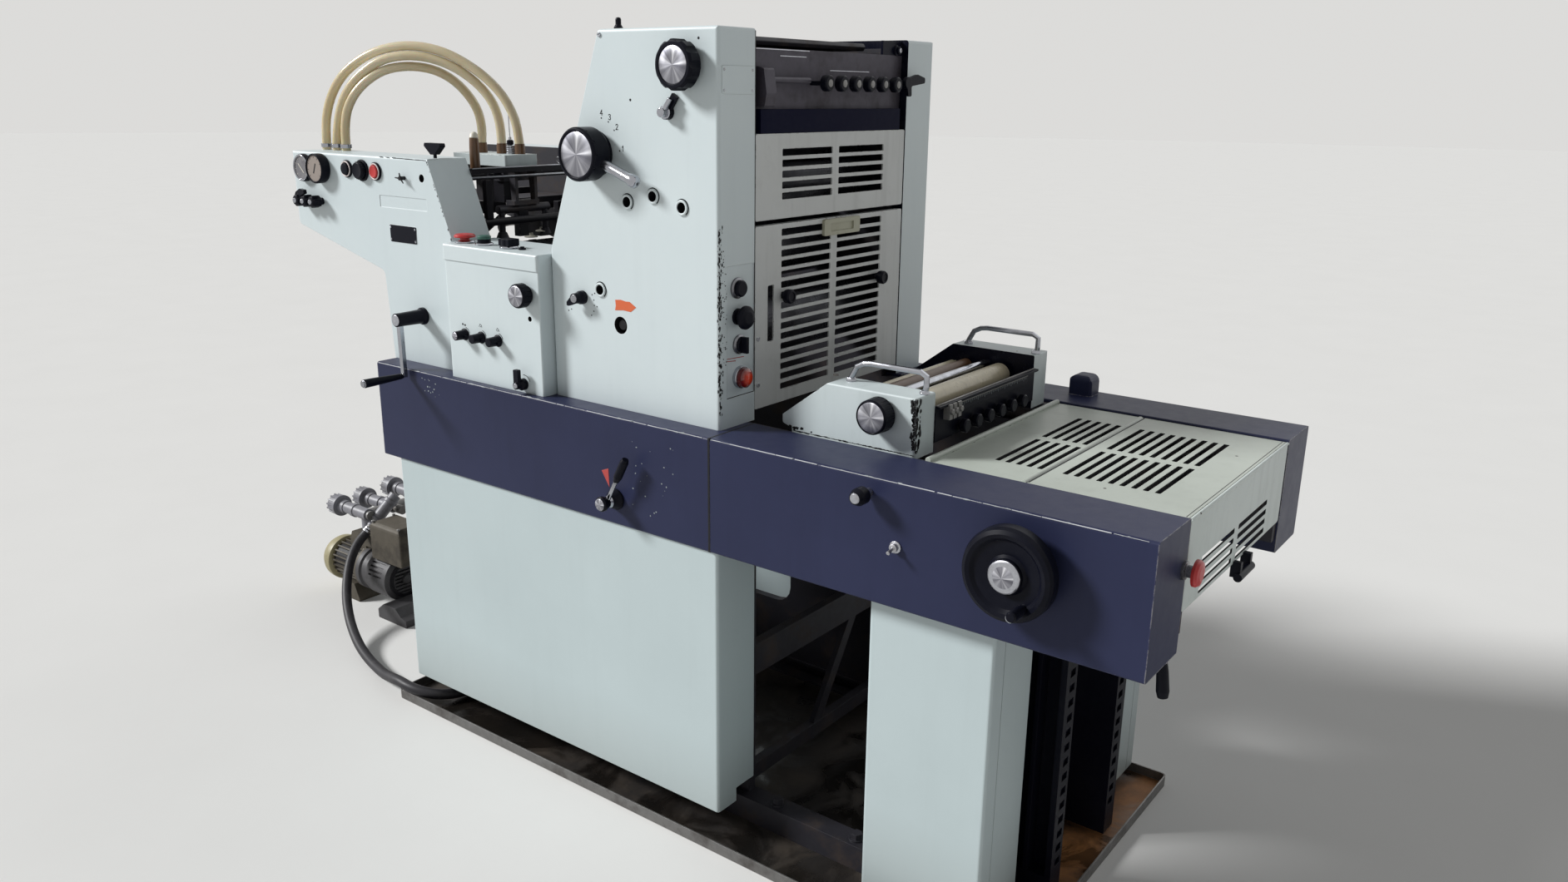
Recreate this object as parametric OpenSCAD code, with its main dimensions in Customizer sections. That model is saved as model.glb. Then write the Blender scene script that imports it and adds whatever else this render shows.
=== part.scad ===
/* [Frame] */
// Length of the feeder half of the blue side beams
feeder_beam_l = 933; // [900:1:980]
// Length of the delivery half of the blue side beams
delivery_beam_l = 777; // [740:1:800]
// Width over the outer faces of the two side beams
machine_w = 744; // [736:1:770]
// Depth of a side beam, across the machine
beam_w = 124; // [116:1:130]
// Height of a side beam
beam_h = 207; // [195:1:215]
// Height of the beams' top above the floor
beam_top = 787; // [770:1:810]
// Thickness of the cast side frames
frame_t = 18; // [14:1:20]

/* [Printing unit] */
// Height of the tower covers above the beams
tower_h = 663; // [650:1:690]
// Length of a tower cover at its foot
tower_foot_l = 410; // [400:1:420]
// Length of a tower cover at its top
tower_top_l = 266; // [255:1:280]
// Height of the upright part of a tower's feeder edge
tower_upright_h = 269; // [260:1:280]
// Depth of a tower cover, across the machine
tower_w = 96; // [90:1:100]
// Diameter of the printing cylinders
cylinder_d = 136; // [120:1:140]

/* [Feeder] */
// Length that the feeder covers reach beyond the beams
feeder_reach = 330; // [310:1:345]
// Height of the feeder covers' top above the beams
feeder_h = 427; // [410:1:440]
// Depth of a feeder cover, across the machine
feeder_w = 97; // [90:1:100]
// Length of the pile board
pile_board_l = 296; // [280:1:305]

/* [Delivery] */
// Width of the slotted covers over the delivery
delivery_cover_w = 486; // [470:1:490]
// Height of the louvred end plate
end_plate_h = 143; // [130:1:150]
// Diameter of the handwheel
handwheel_d = 142; // [130:1:150]

/* [Base] */
// Length of the base cabinet
cabinet_l = 902; // [880:1:915]
// Depth of a cabinet panel, across the machine
cabinet_w = 104; // [98:1:110]
// Height of the cabinet's bottom edge above the floor
cabinet_z = 62; // [56:1:70]
// Length of a delivery leg
leg_l = 226; // [210:1:235]
// Depth of a delivery leg, across the machine
leg_w = 139; // [130:1:145]
// Length of the drip tray
tray_l = 1534; // [1520:1:1560]
// Width of the drip tray
tray_w = 744; // [744:1:760]
// Height of the drip tray's rim
tray_rim_h = 22; // [18:1:28]

/* [Hidden] */

mint = [0.78, 0.83, 0.82];
mint_dark = [0.62, 0.66, 0.64];
indigo = [0.20, 0.21, 0.32];
black = [0.09, 0.09, 0.10];
iron = [0.24, 0.24, 0.27];
casting = [0.42, 0.37, 0.31];
steel = [0.62, 0.63, 0.66];
chrome = [0.80, 0.81, 0.84];
rubber_grey = [0.55, 0.53, 0.52];
hose_amber = [0.80, 0.74, 0.56];
oily_steel = [0.26, 0.19, 0.12];

// Tiny gap that keeps neighbours from touching where one of them moves
fit = 0.3;
// How deep a ring, plate or stem is let into the sheet that carries it
seat = 1;
// Gap along the seam between the two halves of the machine
seam_gap = 2;
// Seam between the feeder and delivery beams, measured from the tray's middle
seam_x = 160;
feeder_x = seam_x - seam_gap / 2 - feeder_beam_l;
delivery_x = seam_x + seam_gap / 2 + delivery_beam_l;
beam_y = machine_w / 2;
beam_in = beam_y - beam_w;
beam_z = beam_top - beam_h;
frame_in = beam_in - frame_t;
sheet_bend_r = 6;

// Base
tray_t = 3;
tray_corner_r = 12;
cabinet_x1 = seam_x + 13;
cabinet_x0 = cabinet_x1 - cabinet_l;
cabinet_out = beam_y - 6;
cabinet_in = cabinet_out - cabinet_w;
cabinet_notch_w = 52;
cabinet_notch_h = 28;
tray_y = -23;

// Printing unit
tower_x = seam_x - 14;
tower_foot_x = tower_x - tower_foot_l;
tower_peak_x = tower_x - tower_top_l;
tower_z = beam_top + tower_h;
tower_kink_z = beam_top + tower_upright_h;
tower_out_operator = beam_y - 46;
tower_in_operator = tower_out_operator - tower_w;
tower_out_far = beam_in + tower_w;
frame_top_z = tower_z - 16;
frame_z = beam_top - 6;
frame_lap = 80;
panel_t = 3;
panel_return = 14;
panel_x = tower_x - 1;
panel_y0 = -tower_in_operator + 2;
panel_y1 = beam_in - 2;
band_z = beam_top + 495;
band_h = 40;
door_z0 = beam_top + 18;
door_h = 323;
door_axis_x = panel_x - 8;
door_axis_z = door_z0 + 8;
door_pin_d = 8;
door_swing_r = 16;
pin_play = 0.1;
frame_front_x = door_axis_x - door_swing_r;
slot_h = 12;
slot_pitch = 18.6;
slot_w = 152;
slot_gap = 20;
slot_rows_upper = 5;
slot_rows_door = 16;
inset_t = 2;

// Feeder
feeder_x0 = feeder_x - feeder_reach;
feeder_out = beam_y - 50;
feeder_in = feeder_out - feeder_w;
feeder_z = beam_top + feeder_h;
control_w = 276;
control_h = 269;
control_lid_h = 31;
control_x1 = tower_foot_x - 2;
control_x0 = control_x1 - control_w;
control_out = beam_y - 16;
feeder_foot_x = control_x0 - 14;
pile_x0 = feeder_x0 + 22;
pile_z = beam_top + 300;
head_x0 = -811;
head_x1 = -632;
head_y0 = -110;
head_y1 = -20;
head_h = 24;
bar_z = feeder_z - 34;
crank_x = -667;
crank_z = 891.5;
crank_gap = 6;
crank_out = beam_y + crank_gap;

// Delivery
cover_t = 3;
cover_z = frame_z + cover_t;
end_x = delivery_x - 4;
cover_split_x = 684;
cover_x0 = 508;
cover_side_gap = 5;
cover_half_w = min(delivery_cover_w / 2, beam_in - cover_side_gap);
leg_x = 471;
wheel_x = 742;
wheel_z = 703;
lever_x = 896;
lever_z = 640;
stop_z = beam_top - 75;

// Damping unit
damper_x0 = 216;
damper_x1 = 486;
damper_out = beam_in - 5;
damper_w = 60;
damper_in = damper_out - damper_w;
damper_top = beam_top + 96;
bail_y = damper_in + 22;
bail_d = 10;

// Routes of the hoses, from their start to their end
hose_d = 20;
hose_outer_route = [
    [-1085, -245, 1214], [-1085, -245, 1228], [-1080, -243, 1282], [-1064, -235, 1332], [-1035, -222, 1375],
    [-995, -204, 1407], [-950, -184, 1428], [-902, -162, 1438], [-853, -140, 1437], [-805, -118, 1425],
    [-761, -98, 1403], [-720, -79, 1373], [-685, -64, 1335], [-663, -53, 1287], [-655, -50, 1234],
    [-655, -50, 1214],
];
hose_middle_route = [
    [-1045, -245, 1214], [-1045, -245, 1228], [-1038, -241, 1275], [-1024, -234, 1320], [-1000, -221, 1359],
    [-968, -204, 1389], [-931, -184, 1410], [-890, -163, 1418], [-848, -141, 1416], [-807, -119, 1404],
    [-769, -99, 1383], [-737, -81, 1354], [-713, -69, 1319], [-702, -63, 1278], [-700, -62, 1234],
    [-700, -62, 1214],
];
hose_inner_route = [
    [-1010, -245, 1214], [-1010, -245, 1228], [-1013, -241, 1265], [-1006, -236, 1303], [-989, -224, 1338],
    [-965, -206, 1366], [-936, -185, 1386], [-903, -162, 1395], [-869, -138, 1395], [-836, -116, 1386],
    [-806, -96, 1366], [-781, -80, 1336], [-766, -69, 1303], [-761, -65, 1268], [-762, -66, 1234],
    [-762, -66, 1214],
];
pump_hose_d = 24;
pump_hose_route = [
    [-1276, -103, 211], [-1280.4, -117.6, 195.2], [-1280, -137, 180], [-1268, -166, 158], [-1245, -197, 130],
    [-1212, -228, 100], [-1172, -256, 73], [-1126, -281, 50], [-1076, -303, 32], [-1022, -323, 20],
    [-966, -340, 14], [-908, -356, 14], [-850, -372, 20], [-800, -384, 31], [-767, -389, 36],
    [-735, -390, 35], [-702, -383, 31], [-671, -364, 25], [-650, -332, 20], [-642, -300, 18],
    [-642, -283, 18],
];

module block(x0, x1, y0, y1, z0, z1) {
    translate([x0, y0, z0]) cube([x1 - x0, y1 - y0, z1 - z0]);
}

module rod_x(x0, x1, y, z, d) {
    translate([x0, y, z]) rotate([0, 90, 0]) cylinder(h = x1 - x0, d = d, $fn = 48);
}

module rod_y(y0, y1, x, z, d) {
    translate([x, y1, z]) rotate([90, 0, 0]) cylinder(h = y1 - y0, d = d, $fn = 48);
}

module rod_z(z0, z1, x, y, d) {
    translate([x, y, z0]) cylinder(h = z1 - z0, d = d, $fn = 48);
}

// Turned pieces: their outline lists radius and height above the face they stand on
module turned_y(x, z, y, outline) {
    translate([x, y, z]) rotate([90, 0, 0]) rotate_extrude($fn = 48) polygon(outline);
}
module turned_x(x, y, z, outline) {
    translate([x, y, z]) rotate([0, 90, 0]) rotate_extrude($fn = 48) polygon(outline);
}
module turned_z(z, x, y, outline) {
    translate([x, y, z]) rotate_extrude($fn = 48) polygon(outline);
}

// Outlines in the side, end and plan views, carried through the third direction
module side_prism(points, y0, y1) {
    translate([0, y1, 0]) rotate([90, 0, 0]) linear_extrude(y1 - y0) polygon(points);
}
module end_prism(points, x0, x1) {
    translate([x0, 0, 0]) rotate([90, 0, 90]) linear_extrude(x1 - x0) polygon(points);
}
module plan_prism(points, z0, z1) {
    translate([0, 0, z0]) linear_extrude(z1 - z0) polygon(points);
}

// Points of the fillet of radius r at corner b of the outline a, b, c
function unit(v) = v / norm(v);
function fillet(a, b, c, r, n) =
    let(
        u = unit(a - b),
        w = unit(c - b),
        half = acos(max(-1, min(1, u * w))) / 2,
        reach = r / tan(half),
        middle = b + unit(u + w) * r / sin(half),
        p = b + u * reach - middle,
        q = b + w * reach - middle,
        turn = atan2(p[0] * q[1] - p[1] * q[0], p * q)
    )
    r <= 0 ? [b] : [for (i = [0 : n])
        let(t = turn * i / n) middle + [p[0] * cos(t) - p[1] * sin(t), p[0] * sin(t) + p[1] * cos(t)]];
function rounded(points, r, n = 4) =
    let(k = len(points))
    [for (i = [0 : k - 1]) each fillet(points[(i + k - 1) % k], points[i], points[(i + 1) % k],
        is_list(r) ? r[i] : r, n)];
function rect(x0, x1, y0, y1) = [[x0, y0], [x1, y0], [x1, y1], [x0, y1]];

// A folded sheet housing: its side outline, with the bends along its outer face rounded
module housing(outline, y_out, y_in, top_r = sheet_bend_r) {
    xs = [for (p = outline) p[0]];
    zs = [for (p = outline) p[1]];
    r = sheet_bend_r;
    intersection() {
        side_prism(outline, min(y_out, y_in), max(y_out, y_in));
        plan_prism(rounded([[min(xs), y_out], [max(xs), y_out], [max(xs), y_in], [min(xs), y_in]], [r, r, 0, 0]),
            min(zs) - 1, max(zs) + 1);
        end_prism(rounded([[y_out, min(zs)], [y_in, min(zs)], [y_in, max(zs)], [y_out, max(zs)]],
            [0, 0, 0, top_r]), min(xs) - 1, max(xs) + 1);
    }
}

// A round tube swept along a route, as one closed skin
function tangent(route, i) = unit(route[min(i + 1, len(route) - 1)] - route[max(i - 1, 0)]);
function ring(route, i, r, sides, up) =
    let(t = tangent(route, i), s = unit(cross(t, up)), n = cross(s, t))
    [for (k = [0 : sides - 1]) route[i] + r * (cos(360 * k / sides) * s + sin(360 * k / sides) * n)];
module tube(route, d, sides, up) {
    m = len(route);
    points = [for (i = [0 : m - 1]) each ring(route, i, d / 2, sides, up)];
    walls = [for (i = [0 : m - 2], k = [0 : sides - 1])
        [i * sides + k, i * sides + (k + 1) % sides, (i + 1) * sides + (k + 1) % sides, (i + 1) * sides + k]];
    polyhedron(points, concat(walls, [[for (k = [sides - 1 : -1 : 0]) k]],
        [[for (k = [0 : sides - 1]) (m - 1) * sides + k]]), convexity = 6);
}

// A straight round strut between two points, and the outline of a flat one
module strut(a, b, d) {
    v = b - a;
    translate(a) rotate([0, acos(v[2] / norm(v)), atan2(v[1], v[0])]) cylinder(h = norm(v), d = d, $fn = 32);
}
function strip(a, b, w) = let(u = unit(b - a), n = [-u[1], u[0]] * w / 2) [a + n, a - n, b - n, b + n];

// Both sides of the machine
module both_sides() {
    children();
    mirror([0, 1, 0]) children();
}

module drip_tray() {
    x = tray_l / 2;
    y0 = tray_y - tray_w / 2;
    y1 = tray_y + tray_w / 2;
    t = tray_t;
    color(oily_steel) difference() {
        plan_prism(rounded(rect(-x, x, y0, y1), tray_corner_r), 0, tray_rim_h);
        plan_prism(rounded(rect(-x + t, x - t, y0 + t, y1 - t), tray_corner_r - t), t, tray_rim_h + 1);
    }
}

rail_y0 = 240;
rail_w = 43;
rail_h = 49;
rail_t = 7;
rail_z = tray_t + rail_h;
rail_x0 = cabinet_x0 + 20;
rail_x1 = leg_x + leg_l - 20;
rail_bolts = [cabinet_x1 + 60, leg_x - 60];
module foot_rails() {
    t = rail_t;
    color(iron) both_sides() {
        difference() {
            block(rail_x0, rail_x1, -rail_y0 - rail_w, -rail_y0, tray_t, rail_z);
            block(rail_x0 - 1, rail_x1 + 1, -rail_y0 - rail_w + t, -rail_y0 + 1, tray_t + t, rail_z - t);
        }
        for (x = rail_bolts) {
            rod_z(rail_z, rail_z + 3, x, -rail_y0 - rail_w / 2, 28);
            translate([x, -rail_y0 - rail_w / 2, rail_z + 3]) cylinder(h = 10, d = 22, $fn = 6);
        }
    }
}

frame_foot_z = beam_z + 24;
brace = [[125, 288], [-26, 49]];
module base_frames() {
    x0 = cabinet_x0 + 10;
    x1 = cabinet_x1 - 10;
    t = frame_t;
    color(iron) {
        both_sides() {
            difference() {
                block(x0, x1, -cabinet_in, -cabinet_in + t, rail_z, beam_z);
                for (x = [x0 + 90, x0 + 380]) side_prism(rounded(rect(x, x + 220, 190, 460), 40),
                    -cabinet_in - 1, -cabinet_in + t + 1);
            }
            block(x0, x1, -beam_in, -frame_in, beam_z - 30, frame_foot_z);
            for (x = [x0 + 340, x1 - 40]) block(x, x + 20, -cabinet_in + t, -frame_in + 8, rail_z, beam_z - 30);
        }
        difference() {
            block(x0, x0 + 6, -cabinet_in + t, cabinet_in - t, rail_z, beam_z);
            for (i = [0 : 7]) end_prism(rounded(rect(-150, 150, 220 + i * 30, 232 + i * 30), 5), x0 - 1, x0 + 7);
        }
        block(x1 - 40, x1 - 20, -frame_in + 8, frame_in - 8, 277, 340);
        end_prism(rounded(strip(brace[0], brace[1], 24), 8), x1 - 34, x1 - 22);
        block(x1 - 40, x1 - 20, -frame_in + 8, frame_in - 8, rail_z, rail_z + 30);
    }
}

module cabinet_panel() {
    r = sheet_bend_r;
    color(mint) difference() {
        plan_prism(rounded([[cabinet_x0, -cabinet_out], [cabinet_x1, -cabinet_out], [cabinet_x1, -cabinet_in],
            [cabinet_x0, -cabinet_in]], [r, r, 0, 0]), cabinet_z, beam_z);
        block(cabinet_x0 - 1, cabinet_x1 + 1, -cabinet_out + cabinet_notch_w, -cabinet_out + cabinet_w + 1,
            cabinet_z - 1, cabinet_z + cabinet_notch_h);
    }
}
module cabinet_operator() cabinet_panel();
module cabinet_far() mirror([0, 1, 0]) cabinet_panel();

module beam(x0, x1) {
    outline = rounded([[-beam_y, beam_z], [-beam_in, beam_z], [-beam_in, beam_top], [-beam_y, beam_top]],
        [4, 2, 3, 5]);
    color(indigo) end_prism(outline, x0, x1);
}
module feeder_beam_operator() beam(feeder_x, seam_x - seam_gap / 2);
module feeder_beam_far() mirror([0, 1, 0]) feeder_beam_operator();
module delivery_beam_operator() beam(seam_x + seam_gap / 2, delivery_x);
module delivery_beam_far() {
    cap_x0 = 501;
    cap_x1 = 548;
    mirror([0, 1, 0]) delivery_beam_operator();
    color(indigo) housing(rounded(rect(cap_x0, cap_x1, beam_top, beam_top + 39), [0, 0, 14, 14]), beam_in + 67,
        beam_in + 106, 12);
}

leg_out = beam_y - 34;
leg_z = 28;
leg_seam_y = -leg_out + 35;
module delivery_leg() {
    x1 = leg_x + leg_l;
    r = sheet_bend_r;
    color(mint) difference() {
        plan_prism(rounded([[leg_x, -leg_out], [x1, -leg_out], [x1, -leg_out + leg_w], [leg_x, -leg_out + leg_w]],
            [r, r, 3, 3]), leg_z, beam_z);
        block(leg_x - 1, rail_x1, -rail_y0 - rail_w, -rail_y0, leg_z - 1, rail_z);
        block(x1 - 3, x1 + 1, leg_seam_y, leg_seam_y + 2, leg_z - 1, beam_z + 1);
        end_prism([[leg_seam_y + 2, beam_z - 30], [leg_seam_y + 20, beam_z - 12], [leg_seam_y + 2, beam_z - 12]],
            x1 - 8, x1 + 1);
    }
}
module delivery_leg_operator() delivery_leg();
module delivery_leg_far() mirror([0, 1, 0]) delivery_leg();

upper_frame = rounded([[tower_foot_x + 20, frame_z - frame_lap], [frame_front_x, frame_z - frame_lap],
    [frame_front_x, frame_top_z], [tower_peak_x + 12, frame_top_z], [tower_foot_x + 20, tower_kink_z - 8]],
    [10, 10, 20, 30, 20]);
module side_frames() {
    color(iron) {
        both_sides() block(feeder_x + 10, end_x, -beam_in, -frame_in, frame_foot_z, frame_z);
        side_prism(upper_frame, -tower_in_operator, -tower_in_operator + frame_t);
        side_prism(upper_frame, frame_in, beam_in);
    }
}

tower_outline = rounded([[tower_foot_x, beam_top], [tower_x, beam_top], [tower_x, tower_z],
    [tower_peak_x, tower_z], [tower_foot_x, tower_kink_z]], [0, 0, sheet_bend_r, sheet_bend_r, 10]);
sight_d = 18;
sight_ring_d = 26;
sight_ring_h = 2.5;
sights = [[-61, 1164], [0, 1177], [66, 1162], [-134, 1003]];
socket_at = [-85.4, 943.6];
inset_y0 = -tower_out_operator + 20;
inset_y1 = -tower_in_operator + 2;
inset_z0 = beam_top + 52;
inset_z1 = beam_top + 281;
plate_z0 = tower_z - 104;
plate_z1 = tower_z - 60;
module tower_operator() {
    y = -tower_out_operator;
    color(mint) {
        difference() {
            housing(tower_outline, y, -tower_in_operator);
            for (s = sights) rod_y(y - 1, y + 14, s[0], s[1], sight_d);
            block(tower_x - inset_t, tower_x + 1, inset_y0, inset_y1 + 4, inset_z0, inset_z1);
            difference() {
                rod_y(y - 1, y + 16, socket_at[0], socket_at[1], 31.6);
                rod_y(y + 5, y + 17, socket_at[0], socket_at[1], 18);
            }
        }
        end_prism(rounded(rect(y + 9, y + 92, plate_z0, plate_z1), 3), tower_x, tower_x + 1);
    }
    color(black) for (s = sights) difference() {
        rod_y(y - sight_ring_h, y + seat, s[0], s[1], sight_ring_d);
        rod_y(y - sight_ring_h - 1, y + seat + 1, s[0], s[1], sight_d);
    }
    color(black) turned_z(tower_z, -117, -280, [[0, 0], [8, 0], [8, 4], [5, 9], [5, 17], [4, 20], [0, 21]]);
}
module tower_far() {
    color(mint) housing(tower_outline, tower_out_far, beam_in);
}

inner_y0 = -tower_in_operator + frame_t;
module crossmembers() {
    color(indigo) {
        block(frame_front_x - 22, panel_x - 2, inner_y0, frame_in, band_z, band_z + band_h);
        difference() {
            block(tower_foot_x + 24, tower_foot_x + 44, inner_y0, frame_in, beam_top + 40, beam_top + 120);
            for (y = [-140, -20, 100]) rod_x(tower_foot_x + 23, tower_foot_x + 45, y, beam_top + 80, 40);
        }
        rod_y(inner_y0, frame_in, tower_foot_x + 90, tower_kink_z + 90, 30);
        rod_y(-tower_in_operator, beam_in, door_axis_x, door_axis_z, door_pin_d);
    }
}

module slots(rows, z_top) {
    y_mid = (panel_y0 + panel_y1) / 2;
    for (i = [0 : rows - 1], s = [-1, 1]) {
        y = y_mid + s * (slot_w + slot_gap) / 2;
        z = z_top - slot_h / 2 - i * slot_pitch;
        end_prism(rounded(rect(y - slot_w / 2, y + slot_w / 2, z - slot_h / 2, z + slot_h / 2), 2, 2),
            panel_x - 2 * panel_return, panel_x + 1);
    }
}

module panel(z0, z1) {
    difference() {
        end_prism(rounded(rect(panel_y0, panel_y1, z0, z1), 4), panel_x - panel_return, panel_x);
        block(panel_x - panel_return - 1, panel_x - panel_t, panel_y0 + panel_t, panel_y1 - panel_t,
            z0 + panel_t, z1 - panel_t);
    }
}

door_z1 = door_z0 + door_h;
upper_z0 = door_z1 + 9;
module upper_grille() {
    color(mint_dark) difference() {
        panel(upper_z0, band_z);
        slots(slot_rows_upper, band_z - 26);
    }
}

door_knob = [[0, 0], [6, 0], [6, 5], [12, 7], [13, 10], [13, 18], [11, 21], [8, 21], [8, 19.5], [0, 19.5]];
module guard_door() {
    color(mint_dark) difference() {
        union() {
            panel(door_z0, door_z1);
            rod_y(panel_y0, panel_y1, door_axis_x, door_axis_z, door_pin_d + 6);
        }
        slots(slot_rows_door, door_z1 - 9);
        end_prism(rounded(rect(-192, -174, door_z0 + 118, door_z0 + 218), 3), panel_x - 2 * panel_return, panel_x + 1);
        rod_y(panel_y0 - 1, panel_y1 + 1, door_axis_x, door_axis_z, door_pin_d + 2 * pin_play);
    }
    color(black) for (y = [-147, 160]) turned_x(panel_x, y, 1000, door_knob);
    color(mint) difference() {
        end_prism(rounded(rect(-30, 87, door_z1 - 32, door_z1 - 2), 4), panel_x, panel_x + 6);
        end_prism(rounded(rect(-10, 66, door_z1 - 25, door_z1 - 10), 3), panel_x + 3, panel_x + 7);
    }
}

// Each cylinder has the gap in which its plate, blanket or grippers are held
cylinders = [[20, 1195, 40], [-40, 1064, 150], [30, 935, 60]];
module printing_cylinders() {
    color(steel) for (c = cylinders) {
        difference() {
            rod_y(inner_y0 + 12, frame_in - 12, c[0], c[1], cylinder_d);
            translate([c[0], 0, c[1]]) rotate([0, -c[2], 0])
                block(cylinder_d / 2 - 20, cylinder_d, inner_y0 + 34, frame_in - 34, -14, 14);
        }
        rod_y(inner_y0, frame_in, c[0], c[1], 44);
    }
}

rollers = [[40, 1394, 54], [-14, 1404, 50], [-62, 1398, 42], [-104, 1392, 38], [-28, 1346, 52], [40, 1336, 48],
    [-92, 1338, 46], [-100, 1282, 42]];
module ink_rollers() {
    color(black) for (r = rollers) {
        rod_y(inner_y0 + 10, frame_in - 10, r[0], r[1], r[2]);
        rod_y(inner_y0, frame_in, r[0], r[1], 16);
    }
}

fountain_z = band_z + band_h;
fountain_x = frame_front_x + 8;
key_z = fountain_z + 44;
key_x = fountain_x + 16;
module ink_fountain() {
    x = fountain_x;
    z = fountain_z;
    color(casting) {
        side_prism([[x - 12, z], [x, z], [x + 3, z + 99], [x - 3, z + 99], [x - 10, z + 36], [x - 44, z + 54],
            [x - 48, z + 48], [x - 12, z + 24]], inner_y0, frame_in);
        side_prism([[x - 5, z], [x, z], [x + 3, z + 99], [x - 2, z + 99]], frame_in - 1, beam_in);
        side_prism(rounded([[x, z + 4], [x + 22, z + 4], [x + 26, z + 26], [x + 20, z + 66], [x + 2, z + 70]], 4),
            inner_y0, inner_y0 + 28);
    }
    color(steel) {
        rod_y(inner_y0 + 28, -78, key_x, key_z + 4, 10);
        turned_y(x - 20, z + 86, frame_in, [[0, 0], [12, 0], [12, 5], [9, 9], [0, 9]]);
    }
    color(iron) side_prism(rounded([[-104, tower_z - 21], [66, tower_z - 21], [70, tower_z - 14],
        [66, tower_z - 7], [-104, tower_z - 7]], 3), inner_y0, frame_in - 19);
}

key_y0 = -52;
key_pitch = 45.2;
key_knobs = 6;
wing_y = key_y0 + 5.73 * key_pitch;
module ink_keys() {
    stem = key_x + 20 - fountain_x;
    color(black) {
        for (i = [0 : key_knobs - 1])
            turned_x(fountain_x, key_y0 + i * key_pitch, key_z, [[0, 1.4], [4, 1.4], [4, stem - 8], [11, stem - 8],
                [14, stem - 5], [14, stem + 6], [12, stem + 8], [7, stem + 8], [7, stem + 6], [0, stem + 6]]);
        turned_x(fountain_x, wing_y, key_z + 4, [[0, 1.4], [5, 1.4], [5, stem], [11, stem + 2], [11, stem + 10],
            [0, stem + 10]]);
        end_prism(rounded([[wing_y - 8, key_z + 10], [wing_y + 2, key_z - 20], [wing_y + 14, key_z - 22],
            [wing_y + 12, key_z - 2], [wing_y + 62, key_z + 4], [wing_y + 62, key_z + 14],
            [wing_y + 34, key_z + 20]], 4), fountain_x + stem + 2, fountain_x + stem + 9);
    }
}

dial_x = -134;
dial_z = 1243;
dial_d = 92;
dial_h = 50;
dial_lever_a = 20;
dial_lever_l = 117;
module impression_dial() {
    r = dial_d / 2;
    h = dial_h;
    y = -tower_out_operator;
    color(black) difference() {
        turned_y(dial_x, dial_z, y, [[0, fit], [r - 6, fit], [r - 6, 8], [r - 2, 10], [r, 14], [r, h - 4],
            [r - 3, h], [r - 6, h], [r - 7, h - 2], [0, h - 2]]);
        for (i = [0 : 11]) translate([dial_x, y - h + 8, dial_z]) rotate([0, i * 30, 0])
            translate([r + 1.6, 0, 0]) rotate([90, 0, 0]) cylinder(h = 12, d = 5, $fn = 24);
    }
    l = dial_lever_l;
    color(chrome) translate([dial_x, y - 24, dial_z]) rotate([0, 90 + dial_lever_a, 0])
        rotate_extrude($fn = 48) polygon([[0, 20], [8.5, 20], [5, l - 6], [8, l - 3], [9, l + 2], [8, l + 7],
            [5, l + 10], [0, l + 11]]);
}

lobe_count = 10;
module ink_knob() {
    r = 40;
    y = -tower_out_operator;
    color(black) difference() {
        turned_y(80, 1390, y, [[0, fit], [18, fit], [18, 6], [r - 3, 8], [r, 12], [r, 32], [r - 4, 36],
            [r - 9, 36], [r - 10, 34.5], [0, 34.5]]);
        for (i = [0 : lobe_count - 1]) translate([80, y, 1390]) rotate([0, i * 360 / lobe_count, 0])
            translate([r + 5, 0, 0]) rotate([90, 0, 0]) cylinder(h = 40, d = 17, $fn = 32);
    }
}

ink_lever_x = 39.5;
ink_lever_z = 1316;
module ink_lever() {
    y = -tower_out_operator;
    at = [ink_lever_x, ink_lever_z];
    tip = at + [20, 27];
    color(black) {
        turned_y(at[0], at[1], y, [[0, fit], [12, fit], [12, 10], [10.5, 12], [0, 12]]);
        side_prism(rounded(strip(at, tip, 12), [4, 4, 0, 0]), y - 9, y - 2);
    }
    color(chrome) {
        turned_y(at[0], at[1], y - 11, [[0, 0], [8, 0], [8, 10], [7, 11], [0, 11]]);
        strut([at[0], y - 16, at[1]], [at[0] + 16, y - 14, at[1] + 22], 8);
    }
}

register_x = -180.5;
register_z = 984.5;
module register_knob() {
    y = -tower_out_operator;
    at = [register_x, register_z];
    color(black) {
        turned_y(at[0], at[1], y, [[0, fit], [12.5, fit], [12.5, 8], [10, 14], [9.5, 24], [0, 24]]);
        side_prism([at + [-5, 7], at + [-20, -8], at + [-20, -14], at + [-15, -15], at + [6, -7]], y - 23, y - 14);
    }
    color(chrome) turned_y(at[0], at[1], y - 23.5, [[0, 0], [7.8, 0], [7, 1.5], [0, 2]]);
}

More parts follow.
